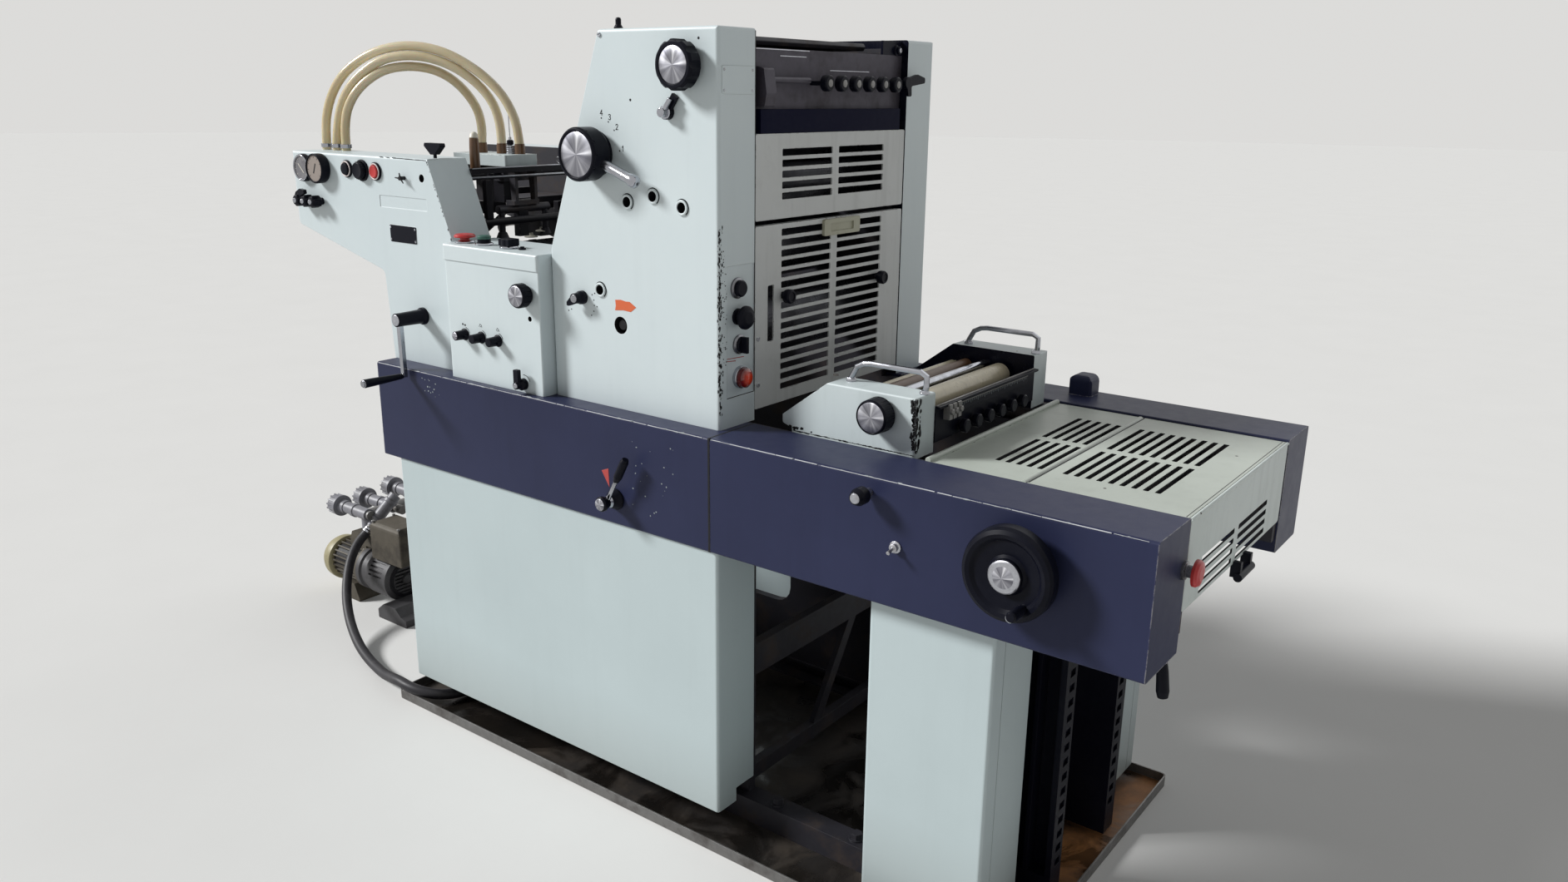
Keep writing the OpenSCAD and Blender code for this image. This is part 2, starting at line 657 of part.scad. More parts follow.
// Push buttons on the tower's end face, the control box, the feeder and the delivery end
button_y = -272;
module bezel_button(x, y, z, r, h) {
    turned_x(x, y, z, [[0, 0], [r, 0], [r, 3], [r - 3, 5], [r - 4, 5], [r - 4, h - 2], [r - 6, h], [0, h]]);
}
module mushroom(r, h) {
    rotate_extrude($fn = 48) polygon([[0, 0], [r * 0.7, 0], [r * 0.7, 4], [r * 0.45, 5], [r * 0.45, h * 0.5],
        [r, h * 0.62], [r, h * 0.78], [r * 0.86, h * 0.93], [r * 0.5, h], [0, h]]);
}
module push_buttons() {
    x = tower_x - inset_t;
    lid_y = -control_out + 38;
    color(black) {
        bezel_button(x, -276, 1029, 18, 13);
        translate([x, -275, 980]) rotate([0, 90, 0]) mushroom(20.5, 26);
        bezel_button(x, -271, 931, 17, 9);
        block(x + 5, x + 20, -274, -268, 917, 945);
        turned_z(tower_kink_z, -462, lid_y, [[0, 0], [16, 0], [16, 3], [13, 5], [13, 14], [11, 16], [0, 16]]);
        turned_z(tower_kink_z, -389, lid_y, [[0, 0], [17, 0], [17, 3], [15, 5], [15, 17], [0, 17]]);
        turned_z(tower_kink_z, -351, lid_y, [[0, 0], [7, 0], [7, 3], [4, 3], [4, 6], [0, 6]]);
    }
    color("orangered") {
        turned_x(x, -269, 873, [[0, 0], [19.3, 0], [19.3, 6], [17.6, 7], [17.2, 16], [12, 20], [0, 22]]);
        translate([-521, lid_y, tower_kink_z]) mushroom(21, 18);
        translate([delivery_x, -258, stop_z]) rotate([0, 90, 0]) mushroom(20, 26);
    }
}

module control_box() {
    x0 = control_x0;
    x1 = control_x1;
    lid_z = tower_kink_z - control_lid_h;
    r = sheet_bend_r;
    color(mint) {
        difference() {
            plan_prism(rounded([[x0, -control_out], [x1, -control_out], [x1, -feeder_in], [x0, -feeder_in]],
                [r, 3, 0, 0]), beam_top, lid_z);
            rod_y(-control_out - 1, -control_out + 12, -295, 934, 10);
        }
        housing(rect(x0 - 2, x1, lid_z, tower_kink_z), -control_out - 2, -feeder_in, 4);
    }
}

// Knobs on the operator's face
function knob_outline(r, h) = [[0, fit], [r * 0.8, fit], [r * 0.8, h * 0.2], [r, h * 0.3], [r, h - 3], [r - 2, h],
    [r * 0.7, h], [r * 0.7 - 1, h - 1.2], [0, h - 1.2]];
module knurled_knob(x, z, y, r, h, grooves) {
    color(black) difference() {
        turned_y(x, z, y, knob_outline(r, h));
        for (i = [0 : grooves - 1]) translate([x, y - h * 0.3, z]) rotate([0, i * 360 / grooves, 0])
            translate([r + 0.6, 0, 0]) rotate([90, 0, 0]) cylinder(h = h, d = 3, $fn = 16);
    }
}
speed_x = -302;
module speed_dial() knurled_knob(speed_x, 979.5, -control_out, 23, 26, 16);

lever_xs = [-490, -439.5, -390];
control_lever_z = 880;
module small_lever(x) {
    y = -control_out;
    z = control_lever_z;
    color(black) {
        turned_y(x, z, y, [[0, fit], [12, fit], [12, 2], [10, 3], [9.4, 14], [9, 25], [8, 26], [0, 26]]);
        block(x + 6, x + 13, y - 12, y - 3, z - 7, z);
    }
}
module control_lever_1() small_lever(lever_xs[0]);
module control_lever_2() small_lever(lever_xs[1]);
module control_lever_3() small_lever(lever_xs[2]);

side_lay_x = -320;
side_lay_z = 804.5;
module side_lay_knob() {
    y = -control_out;
    color(black) {
        turned_y(side_lay_x, side_lay_z, y, [[0, fit], [11.5, fit], [11.5, 9], [8, 13], [7, 23], [0, 23]]);
        side_prism(rounded(rect(side_lay_x - 7, side_lay_x + 6, side_lay_z - 6, side_lay_z + 31), 2), y - 21, y - 13);
    }
    color(chrome) turned_y(side_lay_x, side_lay_z, y - 22.5, [[0, 0], [5.5, 0], [4.5, 2], [0, 3]]);
}

feeder_outline = rounded([[feeder_x0, feeder_z], [feeder_x0 + 4, feeder_z - 160], [feeder_x0 + 313, feeder_z - 239],
    [feeder_x - 4, beam_top], [feeder_foot_x, beam_top], [feeder_foot_x, feeder_z - 158],
    [feeder_foot_x - 65, feeder_z]], [sheet_bend_r, 14, 14, 0, 0, 8, sheet_bend_r]);
band_x0 = feeder_foot_x - 232;
module feeder_cover() {
    color(mint) housing(feeder_outline, -feeder_out, -feeder_in);
}
module feeder_cover_operator() {
    y = -feeder_out;
    color(mint) difference() {
        feeder_cover();
        rod_y(y - 1, y + 12, -641, 1175, 16);
        side_prism(rounded(rect(band_x0, band_x0 + 158, 1110, 1134), 2), y - 1, y + 0.8);
    }
    color(black) side_prism(rounded(rect(-759, -671, 1040, 1075), 2), y - 1, y + seat);
    color(black) {
        rod_z(feeder_z - seat, feeder_z + 8, -637, y + 34, 7);
        side_prism(rounded([[-643, feeder_z + 7], [-631, feeder_z + 7], [-611, feeder_z + 24],
            [-613, feeder_z + 30], [-661, feeder_z + 30], [-663, feeder_z + 24]], 2), y + 27, y + 41);
    }
}
module feeder_cover_far() mirror([0, 1, 0]) feeder_cover();

module feeder_gauges() {
    y = -feeder_out;
    color(black) {
        turned_y(-1055, 1178.5, y, [[0, 0], [30, 0], [30, 9], [28.5, 12], [27, 12], [27, 10], [0, 10]]);
        turned_y(-990, 1180, y, [[0, 0], [31.5, 0], [32, 2], [32, 19], [31, 21], [28.5, 21], [28.5, 18.5],
            [0, 18.5]]);
        for (b = [[-1081, 1111], [-1035, 1107]]) difference() {
            turned_y(b[0], b[1], y, [[0, 0], [8, 0], [8, 6], [14, 8], [15, 12], [14, 32], [12, 36], [0, 36]]);
            for (i = [0 : 5]) translate([b[0], y - 8, b[1]]) rotate([0, i * 60, 0]) translate([17, 0, 0])
                rotate([90, 0, 0]) cylinder(h = 40, d = 9, $fn = 24);
        }
        for (b = [[-902, 1184, 18.5, 8], [-856, 1181, 24, 12], [-801, 1182, 19, 9]])
            turned_y(b[0], b[1], y, [[0, 0], [b[2], 0], [b[2], 3], [b[2] - 2, 5], [b[2] - 4, 5],
                [b[2] - 4, b[3] - 1], [b[2] - 5, b[3]], [0, b[3]]]);
        turned_y(-708, 1173, y, [[0, 0], [5, 0], [5, 8], [6, 10], [4, 16], [0, 17]]);
        for (a = [30, 150, 270]) translate([-708, y - 12, 1173]) rotate([0, a, 0])
            translate([0, -3, -2]) cube([11, 6, 4]);
    }
}

module feeder_crank() {
    y = -crank_out;
    a = -1;
    l = 117.5;
    h = crank_out - feeder_out;
    color(black) turned_y(crank_x, crank_z, -feeder_out, [[0, fit], [18, fit], [18, 6], [15, 10], [14, h - 2],
        [14, h + 13], [13, h + 14], [0, h + 14]]);
    color(steel) turned_y(crank_x, crank_z, y - 13.5, [[0, 0], [12, 0], [11, 2], [0, 2.5]]);
    color(chrome) translate([crank_x, 0, crank_z]) rotate([0, a, 0])
        side_prism(rounded([[-5.5, -4], [5.5, -4], [5, -l - 4], [-5, -l - 4]], [0, 0, 3, 3]), y - 9, y);
    color(black) translate([crank_x, 0, crank_z]) rotate([0, a, 0]) translate([0, y - 8, -l])
        rotate([90, 0, 0]) rotate_extrude($fn = 48) polygon([[0, 0], [5, 0], [6, 4], [7, 30], [8.5, 70], [9, 92],
            [8, 95], [0, 95]]);
    color(chrome) translate([crank_x, 0, crank_z]) rotate([0, a, 0]) translate([0, y - 102, -l])
        rotate([90, 0, 0]) cylinder(h = 3, d = 13, $fn = 48);
}

// Bars between the feeder covers, which carry the suction head and the hold-downs
rail_xs = [-776, -668];
module feeder_rails() {
    color(black) {
        for (x = rail_xs) rod_y(-feeder_in, feeder_in, x, bar_z - 8, 16);
        block(-618, -604, -feeder_in, feeder_in, 1180, 1192);
        block(-615, -607, -feeder_in, feeder_in, 1168, 1174);
        rod_y(-feeder_in, feeder_in, -600, 1080, 16);
    }
    color(steel) {
        rod_y(-feeder_in, feeder_in, -640, 1010, 12);
        for (y = [-190, 190]) block(-606, -594, y - 8, y + 8, 1088, 1168);
    }
}

board_a = atan2(112, 490);
module feed_board() {
    color(iron) side_prism([[-740, 1004], [-740, 1012], [-250, 900], [-250, 892]], -feeder_in, feeder_in);
    color(steel) both_sides() side_prism([[-740, 1012], [-740, 1026], [-262, 917], [-262, 903]],
        -feeder_in + 6, -feeder_in + 12);
    color(steel) for (y = [-130, -45, 45, 130]) side_prism([[-738, 1011.6], [-738, 1013.6], [-252, 902.5],
        [-252, 900.5]], y - 11, y + 11);
}

pile_board_t = 18;
module pile_board() {
    x1 = pile_x0 + pile_board_l;
    color("burlywood") {
        plan_prism(rounded(rect(pile_x0, x1, -feeder_in + 12, feeder_in - 12), 8), pile_z, pile_z + pile_board_t);
        for (x = [pile_x0 + 30, x1 - 60]) block(x, x + 30, -feeder_in, feeder_in, pile_z - 14, pile_z);
    }
}

module suction_head() {
    z = feeder_z - head_h;
    body_z = bar_z - 2;
    color(mint) plan_prism(rounded(rect(head_x0, head_x1, head_y0, head_y1), 5), z, feeder_z);
    color(iron) {
        for (x = rail_xs) difference() {
            block(x - 16, x + 16, head_y0 + 8, head_y1 - 8, bar_z - 22, z);
            rod_y(head_y0, head_y1, x, bar_z - 8, 16);
        }
        block(head_x0 + 51, head_x1 - 52, head_y0 + 20, head_y1 - 20, 1112, z);
        for (y = [head_y0 + 14, head_y1 - 22]) side_prism(rounded([[-636, 1112], [-622, 1112], [-622, z],
            [-676, z], [-676, z - 6], [-650, z - 12], [-640, z - 20]], 2), y, y + 8);
        block(-650, -622, head_y0 + 10, head_y1 - 10, 1108, 1118);
        rod_y(head_y0 - 26, head_y1 + 26, -636, 1100, 18);
        for (y = [head_y0 - 16, head_y1 + 16]) rod_z(1052, 1094, -636, y, 14);
        for (y = [head_y0 - 16, head_y1 + 16]) turned_z(1040, -636, y, [[0, 0], [14, 0], [9, 12], [0, 12]]);
    }
}

module hose_outer() {
    color(hose_amber) tube(hose_outer_route, hose_d, 12, [1, -2.2, 0]);
}
module hose_middle() {
    color(hose_amber) tube(hose_middle_route, hose_d, 12, [1, -2.2, 0]);
}
module hose_inner() {
    color(hose_amber) tube(hose_inner_route, hose_d, 12, [1, -2.2, 0]);
}

damper_outline = rounded([[damper_x0 + 24, frame_z], [damper_x0 + 24, beam_top + 5], [damper_x0 + 3, beam_top + 12],
    [damper_x0, beam_top + 24], [damper_x0 + 97, damper_top], [damper_x1, damper_top], [damper_x1, frame_z]],
    [0, 2, 3, 3, 4, 3, 0]);
module damper_sides() {
    color(mint) {
        housing(damper_outline, -damper_out, -damper_in, 3);
        housing(damper_outline, damper_out, damper_in, 3);
    }
}

// Middle, height and diameter of each roller
damper_rolls = [[320, 846, 16], [350, 848, 26], [388, 856, 16], [422, 840, 44]];
module damper_rollers() {
    color(rubber_grey) for (r = damper_rolls) {
        rod_y(-damper_in + 12, damper_in - 12, r[0], r[1], r[2]);
        rod_y(-damper_in, damper_in, r[0], r[1], 10);
    }
}

pan_x0 = 300;
pan_x1 = damper_x1 + 2;
pan_key_pitch = 43.6;
pan_key_count = 6;
module damper_trough() {
    x0 = pan_x0;
    x1 = pan_x1;
    z = beam_top + 10;
    color(black) side_prism([[x0, z], [x1, z], [x1, beam_top + 68], [x1 + 8, beam_top + 68], [x1 + 8, beam_top + 72],
        [x1 - 4, beam_top + 72], [x1 - 4, z + 4], [x0 + 4, z + 4], [x0 + 4, z + 26], [x0, z + 26]],
        -damper_in, damper_in);
    color(steel) side_prism(rounded(rect(x1, x1 + 6, beam_top + 51, beam_top + 66), 1), -131, 141);
    color(black) for (i = [0 : pan_key_count - 1]) turned_x(x1, -100 + i * pan_key_pitch, beam_top + 24,
        [[0, 0], [4, 0], [4, 5], [11, 5], [12, 7], [12, 15], [10, 17], [0, 17]]);
}

// The bails' outline in side view, from foot to foot
bail_route = [[335, damper_top], [337, damper_top + 10], [346, damper_top + 26], [360, damper_top + 33],
    [374, damper_top + 35], [470, damper_top + 35], [481, damper_top + 29], [481, damper_top + 12],
    [480, damper_top]];
module bail(y) {
    route = [for (p = bail_route) [p[0], y, p[1]]];
    color(chrome) {
        tube(concat([[335, y, damper_top + 3], [335, y, damper_top + 6]],
            [for (i = [1 : len(route) - 2]) route[i]],
            [[480, y, damper_top + 6], [480, y, damper_top + 3]]), bail_d, 10, [0, 1, 0]);
        for (x = [335, 478]) turned_z(damper_top, x, y, [[0, 0], [8, 0], [8, 3], [6, 5], [0, 5]]);
    }
}
module damper_handles() {
    for (s = [-1, 1]) bail(s * bail_y);
}

damper_dial_x = 421;
damper_dial_z = 848;
module damper_dial() {
    y = -damper_out;
    color(black) difference() {
        turned_y(damper_dial_x, damper_dial_z, y, [[0, fit], [24, fit], [24, 4], [30, 6], [29, 31], [27, 34],
            [26, 34], [25.5, 33], [0, 33]]);
        for (i = [0 : 23]) translate([damper_dial_x, y - 7, damper_dial_z]) rotate([0, i * 15, 0])
            translate([30.4, 0, 0]) rotate([90, 0, 0]) cylinder(h = 21, d = 3, $fn = 16);
    }
}

cover_lip = 12;
cover_roll_r = 5;
cover_slot_pitch = 18.4;
cover_slot_w = 9;
module slotted_cover(x0, x1, count, first) {
    y = cover_half_w;
    difference() {
        union() {
            block(x0, x1, -y, y, frame_z, cover_z);
            for (x = [x0, x1 - cover_t - 1])
                block(x, x + cover_t, -frame_in + 4, frame_in - 4, cover_z - cover_lip, cover_z);
        }
        for (i = [0 : count - 1], s = [[-165, -11], [9, 163]])
            plan_prism(rounded(rect(first + i * cover_slot_pitch, first + i * cover_slot_pitch + cover_slot_w,
                s[0], s[1]), 2, 2), frame_z - 1, cover_z + 1);
    }
}
module delivery_covers() {
    r = cover_roll_r;
    color(mint) {
        slotted_cover(cover_x0 + 4, cover_split_x - 1, 5, 590);
        slotted_cover(cover_split_x + 1, end_x - 1, 9, 707);
        rod_y(-cover_half_w, cover_half_w, cover_x0 + 4, frame_z + r + fit, 2 * r);
    }
}

module delivery_end_plate() {
    z0 = cover_z - end_plate_h;
    y = cover_half_w;
    color(mint) difference() {
        union() {
            end_prism(rounded(rect(-y, y, z0, cover_z), [6, 6, 0, 0]), end_x, end_x + cover_t);
            rod_y(-y, y, end_x + 2.2, cover_z - 2, 5);
        }
        for (i = [0 : 3], s = [[-175, -21], [-1, 153]])
            end_prism(rounded(rect(s[0], s[1], 697 - i * 16.6, 706 - i * 16.6), 2, 2), end_x - 2, end_x + 6);
    }
    color(black) {
        for (p = [-8, 44]) block(end_x, end_x + 16, p, p + 10, z0 - 22, z0 + 4);
        rod_y(-12, 58, end_x + 14, z0 - 20, 14);
    }
}

// The gripper chains run round a sprocket at the delivery end, on both sides
sprocket_r = 62;
sprocket_z = beam_z + 96;
module delivery_chain() {
    x0 = cabinet_x1 + 30;
    x1 = delivery_x - 150;
    y = -frame_in;
    r = sprocket_r + 5;
    z = sprocket_z;
    color(iron) both_sides() {
        difference() {
            side_prism(concat([[x0, z + r], [x0, z - r]],
                [for (i = [0 : 12]) let(a = -90 + i * 15) [x1 + r * cos(a), z + r * sin(a)]]), y + 2, y + 12);
            side_prism(concat([[x0 - 1, z + r - 10], [x0 - 1, z - r + 10]],
                [for (i = [0 : 12]) let(a = -90 + i * 15) [x1 + (r - 10) * cos(a), z + (r - 10) * sin(a)]]),
                y + 1, y + 13);
        }
        rod_y(y, y + 10, x1, z, 2 * sprocket_r - 10);
        block(x0, x0 + 24, y, y + 12, z - r, z + r);
        rod_y(y, y + 26, x1, z, 40);
    }
    color(steel) {
        rod_y(-frame_in + 26, frame_in - 26, x1, z, 24);
        both_sides() for (x = [x0 + 180, x0 + 420]) rod_y(y, y + 12, x, z + r - 4, 12);
    }
}

// Columns that guide the delivery pile, each a rack between two channels
post_x0 = 640;
post_x1 = 735;
module delivery_posts() {
    z1 = beam_z + 18;
    color(black) both_sides() difference() {
        block(post_x0, post_x1, -142, -100, tray_t, z1);
        for (x = [post_x0 + 8, post_x0 + 50]) block(x, x + 34, -143, -112, tray_t + 40, z1 - 10);
        for (i = [0 : 19]) block(post_x1 - 5, post_x1 + 1, -128, -108, 60 + i * 28, 74 + i * 28);
    }
    color(iron) {
        block(post_x0 + 20, post_x0 + 54, -100, 100, z1 - 58, z1 - 30);
        both_sides() {
            block(post_x0 + 20, post_x0 + 54, -leg_out + leg_w, -142, z1 - 58, z1 - 30);
            difference() {
                block(515, post_x0, -142, -134, 60, 128);
                for (x = [532, 560, 588, 612]) block(x, x + 16, -143, -133, 96, 112);
            }
        }
        both_sides() block(515, 523, -142, -134, tray_t, 60);
    }
}

module delivery_handwheel() {
    y = -beam_y;
    r = handwheel_d / 2;
    color(black) turned_y(wheel_x, wheel_z, y, [[0, fit], [18, fit], [20, 14], [20, 20], [r - 16, 22],
        [r - 4, 17], [r, 22], [r, 38], [r - 3, 45], [r - 9, 48], [r - 15, 46], [r - 20, 41], [30, 38], [26, 42],
        [26, 47], [0, 47]]);
    color(chrome) {
        turned_y(wheel_x, wheel_z, y - 47, [[0, 0], [24.5, 0], [24.5, 2], [23, 3.4], [0, 7]]);
    }
    color(black) turned_y(wheel_x + 30, wheel_z - 41, y - 36, [[0, 0], [5, 0], [5, 10], [7, 12], [8, 24], [8, 44],
        [6.5, 47], [0, 47]]);
}

beam_knob_x = 485;
beam_knob_z = 761;
module beam_knob() {
    y = -beam_y;
    color(chrome) turned_y(beam_knob_x, beam_knob_z, y, [[0, fit], [7, fit], [7, 14], [0, 14]]);
    color(black) turned_y(beam_knob_x, beam_knob_z, y - 12, [[0, 0], [10, 0], [14, 6], [14, 20], [11, 27], [10, 29],
        [0, 29]]);
    color(steel) turned_y(beam_knob_x, beam_knob_z, y - 41, [[0, 0], [8.5, 0], [7.5, 1.5], [0, 2]]);
}

throttle_x = -64;
throttle_z = 630;
throttle_a = 29;
throttle_l = 104;
module throttle_lever() {
    y = -beam_y;
    color(black) {
        turned_y(throttle_x, throttle_z, y, [[0, fit], [20, fit], [20, 3], [14, 14], [10.5, 24], [10.5, 32], [14, 34],
            [14, 39], [12, 41], [0, 41]]);
        translate([throttle_x, y - 24, throttle_z]) rotate([0, throttle_a, 0]) rotate_extrude($fn = 48)
            polygon([[0, 50], [5, 50], [8, 62], [8, throttle_l - 6], [6, throttle_l], [0, throttle_l]]);
    }
    color(chrome) {
        translate([throttle_x, y - 24, throttle_z]) rotate([0, throttle_a, 0]) translate([0, 0, 6])
            cylinder(h = 46, d = 8, $fn = 48);
        turned_y(throttle_x, throttle_z, y - 41, [[0, 0], [11, 0], [10, 1.5], [0, 2]]);
    }
}

module delivery_lever() {
    y = -frame_in + 24;
    color(chrome) {
        rod_y(-frame_in + fit, y + 6, lever_x, lever_z, 26);
        translate([lever_x, y, lever_z]) rotate([0, 174, 0]) cylinder(h = 110, d = 11, $fn = 48);
    }
    color(black) translate([lever_x, y, lever_z]) rotate([0, 174, 0]) translate([0, 0, 96])
        rotate_extrude($fn = 48) polygon([[0, 0], [7, 0], [9, 20], [10, 52], [8, 62], [0, 66]]);
}

// Vacuum pump, standing on the floor beside the feeder, on its own foot
pump_y = -90;
pump_z = 92;
pump_r = 54;
pump_x0 = -1410;
pump_flange_x = -1290;
motor_x1 = -1150;
rib_h = 6;
rib_count = 24;
foot_h = 40;
pump_block = [-1362, -1262, -110, -52, 186];
filter_caps = [[-1440, -101, 246, -1270], [-1440, -21, 246, -1240], [-1452, 78, 250, -1240]];
fitting = [[-1276, -103, 211], [-1254, -30, 290]];
riser_x = fitting[0][0] - 26;
module vacuum_pump() {
    b = pump_block;
    color(casting) {
        turned_x(pump_x0 - 4, pump_y, pump_z, [[0, 0], [pump_r - 8, 0], [pump_r - 8, 6], [pump_r - rib_h, 6],
            [pump_r - rib_h, pump_flange_x - pump_x0], [0, pump_flange_x - pump_x0]]);
        for (i = [0 : rib_count - 1]) translate([pump_x0 + 2.5, pump_y, pump_z]) rotate([(i + 0.5) * 360 / rib_count, 0, 0])
            translate([0, -2, pump_r - rib_h - 1]) cube([pump_flange_x - pump_x0 - 5, 4, rib_h + 1]);
        rod_x(pump_flange_x - 8, pump_flange_x, pump_y, pump_z, 2 * pump_r + 14);
        side_prism([[b[0], pump_z + 34], [pump_flange_x - 2, pump_z + 34], [pump_flange_x - 2, pump_z + 64],
            [b[1], pump_z + 64], [b[1], b[4] - 10], [b[1] - 12, b[4]], [b[0] + 10, b[4]], [b[0], b[4] - 20]],
            b[2], b[3]);
        side_prism([[-1376, 0], [-1300, 0], [-1300, 8], [-1318, foot_h + 8], [-1358, foot_h + 8], [-1376, 8]],
            pump_y - 50, pump_y + 50);
    }
    color(mint) turned_x(pump_x0 - 60, pump_y, pump_z - 4, [[0, 0], [18, 4], [34, 15], [46, 34], [52, 50], [52, 57],
        [0, 57]]);
    color(steel) {
        for (c = filter_caps) {
            rod_x(c[0] + 40, c[3], c[1], c[2], 24);
            rod_x(c[0] + 48, c[0] + 62, c[1], c[2], 36);
            turned_x(c[0], c[1], c[2], [[0, 0], [20, 0], [25, 6], [26, 30], [29, 32], [29, 40], [14, 42], [0, 42]]);
        }
        rod_y(-107, 84, -1290, 246, 26);
        rod_z(b[4] - 20, 228, riser_x, -90, 30);
        rod_z(b[4] - 20, 246, riser_x, -90, 22);
        strut(fitting[0], fitting[1], 22);
        strut(fitting[0] + 0.2 * (fitting[1] - fitting[0]), fitting[0] + 0.34 * (fitting[1] - fitting[0]), 30);
    }
}

module pump_motor() {
    cowl_r = pump_r + 8;
    color(casting) {
        difference() {
            turned_x(pump_flange_x, pump_y, pump_z, [[0, 0], [pump_r + 7, 0], [pump_r + 7, 14], [cowl_r - 6, 18],
                [cowl_r - 6, 40], [cowl_r, 46], [cowl_r, 132], [cowl_r - 10, 140], [0, 140]]);
            for (i = [-4 : 4]) translate([0, pump_y, pump_z]) rotate([34 + i * 11, 0, 0])
                block(pump_flange_x + 60, pump_flange_x + 116, -2.5, 2.5, cowl_r - 5, cowl_r + 4);
            for (i = [0 : 7]) block(motor_x1 - 6, motor_x1 + 1, pump_y - 34, pump_y + 34, pump_z - 37 + i * 10,
                pump_z - 32 + i * 10);
        }
        housing(rounded([[-1230, pump_z + 56], [-1096, pump_z + 56], [-1096, 236], [-1110, 250], [-1216, 250],
            [-1230, 236]], 4), pump_y - 46, pump_y + 30, 14);
        side_prism(rounded([[-1176, 0], [-1057, 0], [-1057, 18], [-1078, 24], [-1100, 44], [-1150, 44],
            [-1176, 24]], 3), -165, -20);
        rod_x(motor_x1 - 2, motor_x1 + 6, pump_y, pump_z, 24);
    }
}

module pump_hose() {
    color(black) tube(pump_hose_route, pump_hose_d, 12, [0, 0, 1]);
}

drip_tray();
foot_rails();
base_frames();
cabinet_operator();
cabinet_far();
feeder_beam_operator();
feeder_beam_far();
delivery_beam_operator();
delivery_beam_far();
delivery_leg_operator();
delivery_leg_far();
side_frames();
tower_operator();
tower_far();
crossmembers();
upper_grille();
guard_door();
printing_cylinders();
ink_rollers();
ink_fountain();
ink_keys();
impression_dial();
ink_knob();
ink_lever();
register_knob();
push_buttons();
control_box();
speed_dial();
control_lever_1();
control_lever_2();
control_lever_3();
side_lay_knob();
feeder_cover_operator();
feeder_cover_far();
feeder_gauges();
feeder_crank();
feeder_rails();
feed_board();
pile_board();
suction_head();
hose_outer();
hose_middle();
hose_inner();
damper_sides();
damper_rollers();
damper_trough();
damper_handles();
damper_dial();
delivery_covers();
delivery_end_plate();
delivery_chain();
delivery_posts();
delivery_handwheel();
beam_knob();
throttle_lever();
delivery_lever();
vacuum_pump();
pump_motor();
pump_hose();
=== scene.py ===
"""Looks of the offset printing press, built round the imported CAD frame. Places and lengths of pieces are in
millimetres, which the mesh code turns into metres. The frame, the camera and the textures are in metres."""
import math
import random

import bmesh
import bpy
from mathutils import Matrix, Vector


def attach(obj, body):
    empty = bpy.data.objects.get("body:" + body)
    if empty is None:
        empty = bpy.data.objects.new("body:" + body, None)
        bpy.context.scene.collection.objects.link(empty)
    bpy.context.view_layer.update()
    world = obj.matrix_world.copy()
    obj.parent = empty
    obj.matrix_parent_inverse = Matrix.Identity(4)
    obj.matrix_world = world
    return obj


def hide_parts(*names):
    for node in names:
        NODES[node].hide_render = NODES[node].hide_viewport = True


MM = 0.001
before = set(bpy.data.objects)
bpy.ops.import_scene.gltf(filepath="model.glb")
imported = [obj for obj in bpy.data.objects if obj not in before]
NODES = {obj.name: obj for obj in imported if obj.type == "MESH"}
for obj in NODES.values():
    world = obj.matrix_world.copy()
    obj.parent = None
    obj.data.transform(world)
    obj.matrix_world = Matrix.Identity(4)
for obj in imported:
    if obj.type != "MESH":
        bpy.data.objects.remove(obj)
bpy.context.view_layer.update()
rng = random.Random(7)
scene = bpy.context.scene
scene.view_settings.view_transform = "Standard"

# Camera at the photograph's place: its turn, pitch and roll, and its focal length in pixels of the photograph
CAMERA_AT = (1.4162, -1.8324, 1.3475)
TURN, PITCH, ROLL = (math.radians(a) for a in (36.90, 16.34, 0.66))
FOCAL_PIXELS, PHOTO_WIDTH, SENSOR = 1423.5, 1884, 36


def make_camera():
    level = math.cos(PITCH)
    ahead = Vector((-math.sin(TURN) * level, math.cos(TURN) * level, -math.sin(PITCH)))
    side = Vector((math.cos(TURN), math.sin(TURN), 0))
    top = side.cross(ahead)
    right = side * math.cos(ROLL) + top * math.sin(ROLL)
    up = top * math.cos(ROLL) - side * math.sin(ROLL)
    data = bpy.data.cameras.new("camera")
    data.sensor_width = SENSOR
    data.lens = SENSOR * FOCAL_PIXELS / PHOTO_WIDTH
    data.clip_end = 200
    camera = bpy.data.objects.new("camera", data)
    camera.matrix_world = Matrix.Translation(CAMERA_AT) @ Matrix((right, up, -ahead)).transposed().to_4x4()
    scene.collection.objects.link(camera)
    scene.camera = camera


make_camera()

M = {}


